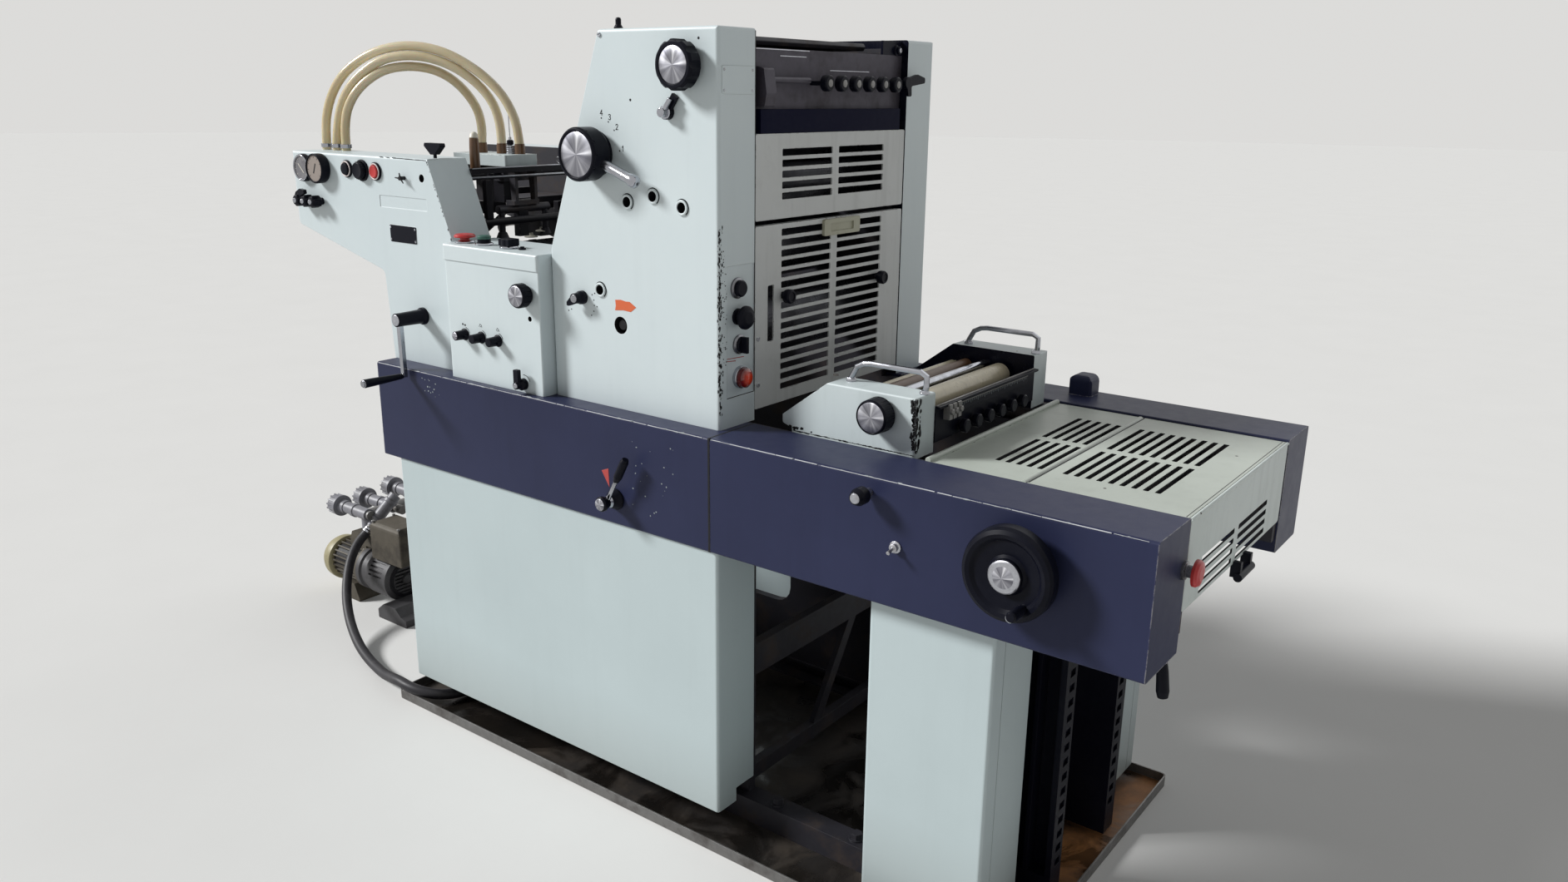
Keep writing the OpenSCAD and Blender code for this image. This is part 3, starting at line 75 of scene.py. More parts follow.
class Shader:
    """Nodes of one material; out() sets the surface's own sockets and keeps the material in M by its name"""

    def __init__(self, name):
        self.name = name
        self.mat = bpy.data.materials.new(name)
        self.mat.use_nodes = True
        self.tree = self.mat.node_tree

    def link(self, value, socket):
        if isinstance(value, bpy.types.NodeSocket):
            self.tree.links.new(value, socket)
        elif value is not None:
            socket.default_value = (*value, 1) if socket.type == "RGBA" else value

    def add(self, kind, out=0, props=None, **inputs):
        """A new node's output. Inputs go by their names, or by number as i0, i1"""
        n = self.tree.nodes.new("ShaderNode" + kind)
        for k, v in (props or {}).items():
            setattr(n, k, v)
        for k, v in inputs.items():
            self.link(v, n.inputs[int(k[1:]) if k[1:].isdigit() else k.replace("_", " ")])
        return n.outputs[out]

    def coords(self, stretch=None):
        c = self.add("TexCoord", "Object")
        return self.add("Mapping", Vector=c, Scale=stretch) if stretch else c

    def xyz(self):
        n = self.tree.nodes.new("ShaderNodeSeparateXYZ")
        self.link(self.coords(), n.inputs[0])
        return n.outputs

    def noise(self, scale, detail=4, rough=0.55, stretch=None, distort=0.0):
        return self.add("TexNoise", Vector=self.coords(stretch), Scale=scale, Detail=detail, Roughness=rough,
                        Distortion=distort)

    def line_noise(self, along, scale, detail, rough=0.5):
        return self.add("TexNoise", 0, {"noise_dimensions": "1D"}, W=along, Scale=scale, Detail=detail,
                        Roughness=rough)

    def math(self, op, a, b=None, clamp=False):
        return self.add("Math", 0, {"operation": op, "use_clamp": clamp}, i0=a, i1=b)

    def times(self, a, b):
        return self.math("MULTIPLY", a, b)

    def plus(self, first, *others):
        for term in others:
            first = self.math("ADD", first, term)
        return first

    def distance(self, a, b):
        return self.math("POWER", self.plus(self.math("POWER", a, 2), self.math("POWER", b, 2)), 0.5)

    def ramp(self, value, low, high, start=0, end=1):
        n = self.tree.nodes.new("ShaderNodeValToRGB")
        self.link(value, n.inputs[0])
        for stop, at, c in zip(n.color_ramp.elements, (low, high), (start, end)):
            stop.position = at
            stop.color = (c, c, c, 1)
        return n.outputs[0]

    def mix(self, share, a, b):
        return self.add("Mix", 2, {"data_type": "RGBA"}, i0=share, i6=a, i7=b)

    def rounded(self, radius):
        return self.add("Bevel", 0, {"samples": 4}, Radius=radius)

    def edge(self, radius):
        """1 near convex edges, 0 on flats"""
        flat = self.add("NewGeometry", "Normal")
        dot = self.add("VectorMath", "Value", {"operation": "DOT_PRODUCT"}, i0=self.rounded(radius), i1=flat)
        return self.math("SUBTRACT", 1.0, dot, clamp=True)

    def bump(self, height, strength, distance=0.0004, radius=None):
        return self.add("Bump", Height=height, Strength=strength, Distance=distance,
                        Normal=self.rounded(radius) if radius else None)

    def out(self, **inputs):
        for k, v in inputs.items():
            self.link(v, self.tree.nodes["Principled BSDF"].inputs[k.replace("_", " ")])
        M[self.name] = self.mat
        return self.mat


def srgb(*levels):
    return tuple(c / 12.92 if c <= 0.04045 else ((c + 0.055) / 1.055) ** 2.4 for c in (v / 255 for v in levels))


def dim(colour, share):
    return tuple(c * share for c in colour)


MINT = srgb(204, 214, 216)
# Paler colour for mint's edges, a painted highlight
PALE_EDGE_HIGHLIGHT = srgb(226, 232, 232)
CHIP = (0.055, 0.045, 0.040)


def paint(name, base, shade, rough, wear, grime, chip=CHIP, edge_r=0.0030, speck=0, low_darkening=0, shine=0.5,
          rim=None):
    """Painted sheet: clouds and streaks of grime, edges lightened to rim as a painted highlight, chips down to chip"""
    s = Shader(name)
    broad = s.noise(2.3, 5, 0.6)
    fine = s.noise(38, 6, 0.65)
    streak = s.noise(1, 4, 0.6, (34, 34, 2.2))
    colour = s.mix(s.ramp(broad, 0.35, 0.7), base, shade)
    colour = s.mix(s.times(s.ramp(streak, 0.52, 0.72), grime), colour, dim(base, 0.42))
    colour = s.mix(s.times(s.ramp(fine, 0.55, 0.75), grime * 0.7), colour, dim(base, 0.5))
    # Darker and browner towards the bottom, below about 0.26 m
    if low_darkening:
        height = s.plus(s.xyz()[2], s.times(broad, 0.10))
        colour = s.mix(s.times(s.ramp(height, 0.05, 0.26, 1, 0), low_darkening), colour, (0.16, 0.14, 0.11))
    edge = s.ramp(s.edge(edge_r), 0.02, 0.22)
    # Painted highlight: convex edges lightened towards rim
    if rim:
        colour = s.mix(s.times(edge, 0.45), colour, rim)
    torn = s.plus(s.noise(95, 7, 0.72), s.times(s.noise(9, 4, 0.6), 0.55), s.times(edge, wear))
    chips = s.math("GREATER_THAN", torn, 1.17)
    if speck:
        spots = s.add("TexVoronoi", Vector=s.coords(), Scale=speck)
        rare = s.times(s.math("LESS_THAN", spots, 0.05), s.math("GREATER_THAN", s.noise(4.3, 3), 0.56))
        chips = s.math("MAXIMUM", chips, rare)
    height = s.math("SUBTRACT", s.times(s.noise(420, 2), 0.12), chips)
    s.out(Base_Color=s.mix(chips, colour, chip), Specular_IOR_Level=shine,
          Roughness=s.plus(s.times(chips, 0.3), rough - 0.08, s.times(fine, 0.16)),
          Normal=s.bump(height, 0.35, radius=0.0016))


def metal(name, base, rough, stain, amount, grain_scale, metallic=1.0, bump=0.08):
    s = Shader(name)
    grain = s.noise(grain_scale, 5, 0.6)
    mask = s.ramp(s.noise(14, 5, 0.65), 0.5, 0.68)
    colour = s.mix(s.ramp(grain, 0.3, 0.7), base, dim(base, 0.8))
    s.out(Base_Color=s.mix(s.times(mask, amount), colour, stain), Metallic=metallic,
          Roughness=s.plus(s.times(mask, 0.18), rough - 0.05, s.times(grain, 0.14)),
          Normal=s.bump(grain, bump, radius=0.0008))


def plastic(name, base, rough, dust, dust_colour=(0.30, 0.29, 0.27), bump=0.05, shine=0.5):
    s = Shader(name)
    fine = s.noise(70, 6, 0.7)
    mask = s.times(s.ramp(s.times(fine, s.noise(9, 4, 0.6)), 0.22, 0.42), dust)
    s.out(Base_Color=s.mix(mask, base, dust_colour), Roughness=s.plus(s.times(fine, 0.18), rough - 0.06),
          Normal=s.bump(fine, bump, radius=0.0010), Specular_IOR_Level=shine)


def spun_painted_highlights():
    """Turned aluminium: fine rings, painted light and dark streaks round the middle, and painted highlights that fan
    out from it at four angles
    """
    s = Shader("spun_painted_highlights")
    x, y, _ = s.xyz()
    angle = s.math("ARCTAN2", y, x)
    rings = s.line_noise(s.distance(x, y), 2600, 2)
    # Painted reflection: light and dark streaks by angle round the middle
    colour = s.mix(s.ramp(s.line_noise(angle, 1.6, 3), 0.30, 0.68), (0.13, 0.13, 0.155), (0.44, 0.44, 0.48))
    # Painted highlights: bright lobes at four angles
    for turn, sharp, amount in ((82, 90, 0.9), (8, 260, 0.7), (-62, 200, 0.35), (158, 60, 0.3)):
        highlight_lobe = s.math("COSINE", s.math("SUBTRACT", angle, math.radians(turn)))
        highlight_lobe = s.math("POWER", s.math("MAXIMUM", highlight_lobe, 0.0), sharp)
        colour = s.mix(s.times(highlight_lobe, amount), colour, (0.86, 0.86, 0.90))
    tangent = s.add("Tangent", 0, {"direction_type": "RADIAL", "axis": "Z"})
    s.out(Base_Color=colour, Metallic=1.0, Roughness=s.plus(s.times(rings, 0.16), 0.30), Anisotropic=0.5,
          Tangent=tangent, Normal=s.bump(rings, 0.06, 0.0003))


def lens(name, y, z):
    """Lens with painted light in its middle and painted shade of deep red at its rim, about an axis along X"""
    s = Shader(name)
    c = s.xyz()
    far = s.distance(s.math("SUBTRACT", c[1], y * MM), s.math("SUBTRACT", c[2], z * MM))
    far = s.plus(s.times(far, 50), s.times(s.noise(60, 3), 0.16))
    s.out(Base_Color=s.mix(s.ramp(far, 0.40, 0.86), srgb(232, 70, 40), srgb(104, 12, 14)), Roughness=0.16,
          Specular_IOR_Level=0.5, Coat_Weight=0.3)


def amber_hose():
    s = Shader("amber")
    colour = s.mix(s.ramp(s.noise(7, 3, 0.5), 0.3, 0.7), srgb(232, 220, 188), srgb(212, 194, 150))
    s.out(Base_Color=colour, Roughness=0.20, Subsurface_Weight=0.25, Subsurface_Scale=0.01,
          Transmission_Weight=0.22, Coat_Weight=0.4)


def tray_metal():
    """Oil-stained sheet, rusty towards the delivery end"""
    s = Shader("tray")
    broad = s.noise(4.5, 7, 0.68, distort=0.6)
    cloud = s.ramp(broad, 0.32, 0.68)
    wet = s.ramp(s.noise(7, 6, 0.6, distort=0.9), 0.45, 0.6)
    rusty = s.ramp(s.plus(s.xyz()[0], s.times(broad, 0.5)), 0.75, 1.05)
    oily = s.mix(cloud, srgb(24, 23, 24), srgb(66, 58, 50))
    colour = s.mix(rusty, oily, s.mix(cloud, srgb(84, 54, 28), srgb(158, 108, 62)))
    colour = s.mix(s.times(wet, 0.75), colour, (0.010, 0.009, 0.008))
    rubbed = s.ramp(s.plus(s.edge(0.003), s.times(broad, 0.12)), 0.10, 0.3)
    s.out(Base_Color=s.mix(rubbed, colour, srgb(138, 134, 130)), Metallic=0.25,
          Roughness=s.math("SUBTRACT", 0.62, s.times(wet, 0.42)), Normal=s.bump(broad, 0.4, 0.001))


def cloth():
    """Worn sleeve of a damping roller"""
    s = Shader("cloth")
    weave = s.add("TexWave", 0, {"wave_type": "BANDS", "bands_direction": "Y"}, Vector=s.coords(), Scale=240,
                  Distortion=1.5, Detail=2)
    colour = s.mix(s.ramp(s.noise(9, 6, 0.65), 0.38, 0.66), srgb(206, 200, 188), srgb(158, 142, 126))
    s.out(Base_Color=colour, Roughness=0.9, Normal=s.bump(s.plus(weave, s.noise(300, 3)), 0.5, 0.0006),
          Sheen_Weight=0.2)


# Painted sheet: colour, its clouds, roughness, wear of edges, grime; rim is the colour of a painted highlight along
# edges
paint("mint", MINT, srgb(198, 209, 212), 0.38, 0.16, 0.035, low_darkening=0.25, rim=PALE_EDGE_HIGHLIGHT)
paint("mint_chipped", MINT, srgb(192, 203, 203), 0.40, 0.34, 0.14, speck=20, rim=PALE_EDGE_HIGHLIGHT)
paint("mint_worn", srgb(200, 209, 207), srgb(184, 194, 190), 0.42, 0.26, 0.24, speck=22, rim=srgb(218, 222, 218))
# Mint darkened as painted shade, for the lower cabinets and legs that get less light
paint("mint_painted_shade", srgb(183, 196, 198), srgb(177, 190, 192), 0.38, 0.20, 0.03, low_darkening=0.3,
      rim=srgb(206, 214, 214))
paint("panel", srgb(202, 205, 204), srgb(189, 191, 190), 0.40, 0.34, 0.20, speck=24)
paint("cover", srgb(184, 191, 182), srgb(170, 177, 168), 0.38, 0.30, 0.12, speck=20, rim=srgb(212, 218, 208))
paint("indigo", (0.025, 0.0295, 0.070), (0.019, 0.0225, 0.054), 0.40, 0.46, 0.10, srgb(190, 188, 186), 0.0035,
      shine=0.15, rim=(0.13, 0.13, 0.22))
paint("beam_black", (0.005, 0.006, 0.018), (0.004, 0.005, 0.012), 0.26, 0.2, 0.1, (0.20, 0.19, 0.18), shine=0.16)
paint("black_paint", (0.008, 0.008, 0.012), (0.012, 0.011, 0.013), 0.40, 0.28, 0.1, (0.18, 0.17, 0.16),
      shine=0.15)
# Metal: colour, roughness, stains and how much they cover, grain
metal("iron", (0.020, 0.019, 0.026), 0.50, (0.055, 0.036, 0.024), 0.5, 50, 0.35, 0.2)
metal("casting", (0.052, 0.046, 0.064), 0.50, (0.025, 0.02, 0.02), 0.5, 60, 0.3, 0.3)
metal("steel", (0.50, 0.51, 0.55), 0.30, (0.16, 0.12, 0.09), 0.4, 220)
metal("inked_steel", (0.045, 0.046, 0.055), 0.26, (0.02, 0.02, 0.03), 0.6, 40, 0.7)
metal("chrome", (0.44, 0.45, 0.49), 0.12, (0.16, 0.155, 0.15), 0.4, 30, bump=0.02)
metal("bezel", (0.20, 0.20, 0.215), 0.26, (0.08, 0.075, 0.07), 0.4, 60)
metal("dull_alu", (0.24, 0.235, 0.23), 0.50, (0.09, 0.075, 0.06), 0.6, 50, 0.4, 0.2)
metal("pump_cast", (0.080, 0.068, 0.050), 0.62, (0.022, 0.018, 0.014), 0.8, 36, 0.2, 0.3)
metal("motor_grey", (0.060, 0.058, 0.062), 0.55, (0.02, 0.018, 0.016), 0.6, 40, 0.2, 0.25)
metal("tray_rim", (0.20, 0.195, 0.19), 0.45, (0.05, 0.04, 0.035), 0.6, 60, 0.7, 0.1)
# Plastic, rubber, ink and enamel: colour, roughness, dust and its colour
plastic("bare_edge", srgb(198, 200, 206), 0.45, 0.2, (0.3, 0.3, 0.32), shine=0.3)
plastic("roller_cream", srgb(224, 213, 184), 0.26, 0.35, (0.20, 0.17, 0.12))
plastic("valve_grey", srgb(122, 122, 129), 0.42, 0.5, (0.10, 0.09, 0.08))
plastic("green", srgb(44, 88, 78), 0.34, 0.1)
plastic("pink", srgb(226, 214, 212), 0.34, 0.05)
plastic("lamp_dark", srgb(74, 10, 12), 0.25, 0.05, (0.1, 0.04, 0.04))
plastic("navy_band", (0.0028, 0.0035, 0.0190), 0.30, 0.10, (0.04, 0.04, 0.05), shine=0.03)
plastic("cheek", (0.0034, 0.0040, 0.0120), 0.26, 0.18, (0.06, 0.06, 0.075), 0.08, 0.10)
plastic("dome", srgb(150, 142, 108), 0.42, 0.5, (0.12, 0.10, 0.06))
plastic("cream", srgb(168, 168, 148), 0.42, 0.4, (0.30, 0.27, 0.2))
plastic("dial", srgb(148, 138, 131), 0.5, 0.2, (0.2, 0.18, 0.16), 0.0, 0.2)
plastic("smoked", srgb(108, 106, 110), 0.3, 0.3, (0.5, 0.5, 0.5), 0.0, 0.4)
plastic("black", (0.0036, 0.0041, 0.0090), 0.34, 0.04, (0.07, 0.07, 0.08), shine=0.10)
plastic("red", srgb(182, 38, 38), 0.28, 0.08, (0.30, 0.06, 0.04))
plastic("rubber", (0.005, 0.005, 0.010), 0.18, 0.05, (0.1, 0.1, 0.1), shine=0.3)
plastic("hose_black", (0.020, 0.019, 0.023), 0.45, 0.35, (0.09, 0.085, 0.085), shine=0.3)
plastic("brown", srgb(96, 66, 40), 0.34, 0.4, (0.04, 0.03, 0.02))
plastic("ink", (0.012, 0.012, 0.014), 0.5, 0.02, shine=0.2)
plastic("grey_mark", srgb(150, 158, 160), 0.5, 0.0, shine=0.2)
plastic("mark_orange", srgb(206, 96, 52), 0.5, 0.1)
plastic("mark_red", srgb(172, 54, 50), 0.5, 0.1)
plastic("white", srgb(214, 210, 196), 0.34, 0.2, (0.4, 0.36, 0.30))
lens("orange", -269, 873)
spun_painted_highlights()
amber_hose()
tray_metal()
cloth()

AXES = {
    "-y": Matrix(((1, 0, 0), (0, 0, -1), (0, 1, 0))),
    "+y": Matrix(((-1, 0, 0), (0, 0, 1), (0, 1, 0))),
    "+x": Matrix(((0, 0, 1), (1, 0, 0), (0, 1, 0))),
    "-x": Matrix(((0, 0, -1), (-1, 0, 0), (0, 1, 0))),
    "+z": Matrix.Identity(3),
}
SHARP = 0.6
MARK = 0.25


def turned(axis):
    """Rotation that turns +Z to an axis' name or to a direction"""
    return AXES.get(axis) or Vector((0, 0, 1)).rotation_difference(Vector(axis)).to_matrix()


def circle(r, count, start=0.0):
    return [(r * math.cos(a), r * math.sin(a)) for a in (start + 2 * math.pi * k / count for k in range(count))]


def arc(x, z, r, low, high, steps):
    turns = [math.radians(low + (high - low) * k / steps) for k in range(steps + 1)]
    return [(x + r * math.cos(a), z + r * math.sin(a)) for a in turns]


def vary(start, span, power=1):
    return start + span * rng.random() ** power


class Piece:
    """One mesh of many forms: with Piece(name, material) as p, then p.lathe, p.tube, p.box and the like"""

    def __init__(self, name, mat, smooth=40, bevel=0.0, body="machine", slot=None):
        self.name, self.mat, self.smooth, self.bevel, self.body, self.slot = name, mat, smooth, bevel, body, slot
        self.bm = bmesh.new()

    def __enter__(self):
        return self

    def __exit__(self, failed, *_):
        if not failed:
            self.finish()

    def finish(self, at=None, turn=None):
        bm = self.bm
        if self.bevel:
            sharp = [e for e in bm.edges if len(e.link_faces) == 2 and e.calc_face_angle(0) > SHARP]
            bmesh.ops.bevel(bm, geom=sharp, offset=self.bevel * MM, segments=2, profile=0.6, affect="EDGES",
                            clamp_overlap=True)
        bmesh.ops.recalc_face_normals(bm, faces=bm.faces)
        mesh = bpy.data.meshes.new(self.name)
        bm.to_mesh(mesh)
        bm.free()
        dress(mesh, self.mat, self.smooth)
        piece = bpy.data.objects.new(self.name, mesh)
        if at:
            piece.matrix_world = Matrix.Translation(Vector(at) * MM) @ turn.to_4x4()
        scene.collection.objects.link(piece)
        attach(piece, self.body)
        return piece

    def shell(self, rings, closed=False):
        """Faces between rings of points, and flat ends unless it closes on itself. One point is a tip."""
        rings = [[self.bm.verts.new(p * MM) for p in ring] for ring in rings]
        for a, b in zip(rings, rings[1:] + rings[:1] * closed):
            for k in range(max(len(a), len(b))):
                quad = [a[k % len(a)], a[(k + 1) % len(a)], b[(k + 1) % len(b)], b[k % len(b)]]
                quad = [v for i, v in enumerate(quad) if v not in quad[:i]]
                if len(quad) > 2:
                    self.bm.faces.new(quad)
        for ring in () if closed else (rings[0], rings[-1]):
            if len(ring) > 2:
                self.bm.faces.new(ring)

    def lathe(self, outline, at, axis="+z", seg=40):
        """Turned form: outline lists radius and height, and closes into a ring where it ends at its start"""
        turn, at = turned(axis), Vector(at)
        closed = outline[0] == outline[-1]
        self.shell([[turn @ Vector((x, y, h)) + at for x, y in (circle(r, seg) if r else ((0, 0),))]
                    for r, h in outline[:-1 if closed else None]], closed)

    def box(self, x0, x1, y0, y1, z0, z1, turn=AXES["+z"], at=(0, 0, 0)):
        corners = ((y0, z0), (y0, z1), (y1, z1), (y1, z0))
        self.shell([[turn @ Vector((x, y, z)) + Vector(at) for y, z in corners] for x in (x0, x1)])

    def tube(self, path, r, seg=12):
        """Tube along points, with one radius or one for each point"""
        path = [Vector(p) for p in path]
        side = Vector((0.31, 0.17, 0.93))
        rings = []
        for i, p in enumerate(path):
            t = (path[min(i + 1, len(path) - 1)] - path[max(i - 1, 0)]).normalized()
            if not i:
                side = t.cross(side).normalized()
            side = (side - t * side.dot(t)).normalized()
            other = t.cross(side)
            size = r[i] if isinstance(r, tuple) else r
            rings.append([p + size * (u * side + v * other) for u, v in circle(1, seg)])
        self.shell(rings)

    def prism(self, outline, axis, a, b):
        """Flat outline carried along an axis. Outline in (x,z) for y, (y,z) for x."""
        self.shell([[Vector((p[0], d, p[1]) if axis == "y" else (d, p[0], p[1])) for p in outline]
                    for d in (a, b)])

    def ribbon(self, points, width, y, depth=MARK):
        """Flat strokes on a face that looks to -Y, along points in (x, z)"""
        points = [Vector(p) for p in points]
        for a, b in zip(points, points[1:]):
            d = (b - a).normalized() * width / 2
            n = Vector((-d.y, d.x))
            self.prism([a - d + n, b + d + n, b + d - n, a - d - n], "y", y, y - depth)

    def dot(self, r, x, y, z, seg=16):
        self.lathe([(r, 0), (r, MARK), (0, MARK)], (x, y, z), "-y", seg)

    def screw(self, at, axis, r, h, slot_turn):
        """Cheese-head screw with a driver slot, as two half heads"""
        turn = AXES[axis] @ Matrix.Rotation(slot_turn, 3, "Z")
        for s in (-1, 1):
            half = [math.radians(s * 90 + d) for d in range(-78, 79, 13)]
            self.shell([[turn @ Vector((r * k * math.cos(a), r * k * math.sin(a), up)) + Vector(at) for a in half]
                        for k, up in ((1, 0), (0.9, h))])

    def patch(self, at, r, face, stretch):
        """Torn patch with a ragged edge of 11 points"""
        outline = []
        for u, v in circle(1, 11):
            d = r * vary(0.55, 0.6)
            outline.append((at[0] + stretch[0] * d * u, at[1] + stretch[1] * d * v))
        self.prism(outline, *face)


def dress(mesh, mat, smooth):
    mesh.materials.clear()
    mesh.materials.append(M[mat])
    for p in mesh.polygons:
        p.use_smooth = True
    mesh.set_sharp_from_angle(angle=math.radians(smooth))


def disc_face(name, r, at, body, dome):
    """A turned aluminium face with painted highlight streaks, with its own middle, just proud of a knob that looks to
    -Y
    """
    face = Piece(name, "spun_painted_highlights", body=body, slot="steel")
    face.lathe([(r, -1.6), (r, 0.3), (r - 0.8, 0.8), (r * 0.5, 0.8 + dome * 0.5), (0, 0.8 + dome)], (0, 0, 0),
               seg=64)
    face.finish(at, AXES["-y"])


# Cords come first
HOSES = {
    "hose_outer": [(-1085, -245, 1214), (-1085, -245, 1228), (-1080, -243, 1282), (-1064, -235, 1332),
                   (-1035, -222, 1375), (-995, -204, 1407), (-950, -184, 1428), (-902, -162, 1438),
                   (-853, -140, 1437), (-805, -118, 1425), (-761, -98, 1403), (-720, -79, 1373), (-685, -64, 1335),
                   (-663, -53, 1287), (-655, -50, 1234), (-655, -50, 1214)],
    "hose_middle": [(-1045, -245, 1214), (-1045, -245, 1228), (-1038, -241, 1275), (-1024, -234, 1320),
                    (-1000, -221, 1359), (-968, -204, 1389), (-931, -184, 1410), (-890, -163, 1418),
                    (-848, -141, 1416), (-807, -119, 1404), (-769, -99, 1383), (-737, -81, 1354), (-713, -69, 1319),
                    (-702, -63, 1278), (-700, -62, 1234), (-700, -62, 1214)],
    "hose_inner": [(-1010, -245, 1214), (-1010, -245, 1228), (-1013, -241, 1265), (-1006, -236, 1303),
                   (-989, -224, 1338), (-965, -206, 1366), (-936, -185, 1386), (-903, -162, 1395),
                   (-869, -138, 1395), (-836, -116, 1386), (-806, -96, 1366), (-781, -80, 1336), (-766, -69, 1303),
                   (-761, -65, 1268), (-762, -66, 1234), (-762, -66, 1214)],
    "pump_hose": [(-1276, -103, 211), (-1280.4, -117.6, 195.2), (-1280, -137, 180), (-1268, -166, 158),
                  (-1245, -197, 130), (-1212, -228, 100), (-1172, -256, 73), (-1126, -281, 50), (-1076, -303, 32),
                  (-1022, -323, 20), (-966, -340, 14), (-908, -356, 14), (-850, -372, 20), (-800, -384, 31),
                  (-767, -389, 36), (-735, -390, 35), (-702, -383, 31), (-671, -364, 25), (-650, -332, 20),
                  (-642, -300, 18), (-642, -283, 18)],
}


def smooth_route(points, step=3):
    """Catmull-Rom points between the route's own"""
    p = [Vector(q) for q in points]
    p = [2 * p[0] - p[1]] + p + [2 * p[-1] - p[-2]]
    out = []
    for i in range(1, len(p) - 2):
        for k in range(step):
            t = k / step
            out.append(0.5 * (2 * p[i] + (p[i + 1] - p[i - 1]) * t
                              + (2 * p[i - 1] - 5 * p[i] + 4 * p[i + 1] - p[i + 2]) * t * t
                              + (3 * p[i] - p[i - 1] - 3 * p[i + 1] + p[i + 2]) * t ** 3))
    out.append(p[-2])
    return out


for name, points in HOSES.items():
    route = smooth_route(points)
    pump = name == "pump_hose"
    skin = Piece(name + "_skin", "hose_black" if pump else "amber", 60, slot="black_hose" if pump else "amber_hose")
    skin.tube(route, 12 if pump else 10, 20)
    skin = skin.finish()
    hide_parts(name)


# CAD nodes keep their shapes and get materials
def assign(mat, names):
    for name in names.split():
        dress(NODES[name].data, mat, 30)


def split(name, mat, test):
    """Gives the faces whose middle passes the test another material"""
    mesh = NODES[name].data
    mesh.materials.append(M[mat])
    for p in mesh.polygons:
        if test(*(p.center / MM)):
            p.material_index = len(mesh.materials) - 1


assign("mint", "tower_operator tower_far control_box feeder_cover_operator feeder_cover_far")
# Lower cabinets and legs take the darker mint, a painted shade
assign("mint_painted_shade", "cabinet_operator cabinet_far delivery_leg_operator delivery_leg_far")
assign("mint_chipped", "damper_sides suction_head")
assign("cover", "delivery_covers")
assign("mint_worn", "delivery_end_plate")
assign("panel", "upper_grille guard_door")
assign("indigo", "feeder_beam_operator feeder_beam_far delivery_beam_operator delivery_beam_far")
assign("navy_band", "crossmembers")
assign("iron", "foot_rails base_frames side_frames delivery_chain pile_board")
assign("inked_steel", "printing_cylinders feed_board")
assign("rubber", "ink_rollers")
assign("casting", "ink_fountain")
assign("black", "ink_keys impression_dial ink_knob ink_lever register_knob push_buttons speed_dial control_lever_1 control_lever_2 control_lever_3 side_lay_knob feeder_gauges feeder_crank damper_dial delivery_handwheel beam_knob throttle_lever delivery_lever")
assign("black_paint", "feeder_rails")
assign("black", "damper_trough delivery_posts")
assign("chrome", "damper_handles")
assign("tray", "drip_tray")
assign("cloth", "damper_rollers")
assign("pump_cast", "vacuum_pump")
assign("motor_grey", "pump_motor")


def near(a, b, r, x, z):
    return math.hypot(x - a, z - b) < r


SIGHTS = ((-61, 1164), (0, 1177), (66, 1162), (-134, 1003))
split("impression_dial", "chrome", lambda x, y, z: not near(-134, 1243, 47.5, x, z))
split("ink_lever", "chrome", lambda x, y, z: y < -336.6)
split("register_knob", "chrome", lambda x, y, z: y < -350.05 and near(-180.5, 984.5, 8, x, z))
split("side_lay_knob", "chrome", lambda x, y, z: y < -379.05)
split("guard_door", "cream", lambda x, y, z: x > 145.2 and z > 1090)
split("guard_door", "black", lambda x, y, z: x > 145.2 and z < 1090)
split("tower_operator", "black", lambda x, y, z: z > 1450.2)
split("tower_operator", "ink", lambda x, y, z: y > -325.8 and any(near(a, b, 9.2, x, z) for a, b in SIGHTS))
split("tower_operator", "ink", lambda x, y, z: -325.8 < y < -305 and near(-85.4, 943.6, 16.2, x, z))
split("tower_operator", "iron", lambda x, y, z: y > -230.2)
split("tower_far", "cheek", lambda x, y, z: y < 248.2)
# Slot walls in the delivery covers and end plate made dark, a painted shade that widens the slots
split("delivery_covers", "ink", lambda x, y, z: 781.2 < z < 783.8 and 585 < x < 885 and abs(y) < 170)
split("delivery_end_plate", "ink", lambda x, y, z: 934.2 < x < 936.8 and 640 < z < 708 and abs(y) < 180)
# Bottoms of the grooves between the pump's ribs made dark, a painted shade
split("vacuum_pump", "ink", lambda x, y, z: -1405 < x < -1296 and math.hypot(y + 90, z - 92) < 49)
split("control_box", "ink", lambda x, y, z: near(-295, 934, 5.3, x, z) and y < -340)
split("feeder_cover_operator", "ink", lambda x, y, z: near(-641, 1175, 8.3, x, z) and y < -305)
split("feeder_cover_operator", "black", lambda x, y, z: z > 1214.2 or (y < -322.5))
split("feeder_cover_operator", "iron", lambda x, y, z: y > -225.2)
split("feeder_cover_far", "iron", lambda x, y, z: y < 225.2)
split("damper_sides", "beam_black", lambda x, y, z: 182.9 < y < 183.2)
split("delivery_end_plate", "black", lambda x, y, z: z < 660 and x > 938.2 or z < 640)
split("delivery_lever", "chrome", lambda x, y, z: z > 540)
split("feeder_crank", "chrome", lambda x, y, z: (z < 877 and -387.3 < y < -377.7) or y < -480.2)
split("feeder_crank", "steel", lambda x, y, z: y < -392.05 and z > 870)
split("delivery_handwheel", "steel", lambda x, y, z: y < -419.05 and near(742, 703, 26, x, z))
split("beam_knob", "steel", lambda x, y, z: y < -413.05 or (near(485, 761, 7.6, x, z) and y > -384.05))
split("throttle_lever", "chrome", lambda x, y, z: y < -413.05 or (-401 < y < -391 and near(-64, 630, 52, x, z)
                                                                  and not near(-64, 630, 10.7, x, z)))
split("push_buttons", "orange", lambda x, y, z: 850 < z < 896 and x > 150.5)
split("push_buttons", "bezel", lambda x, y, z: 850 < z < 896 and 140 < x < 150.5)
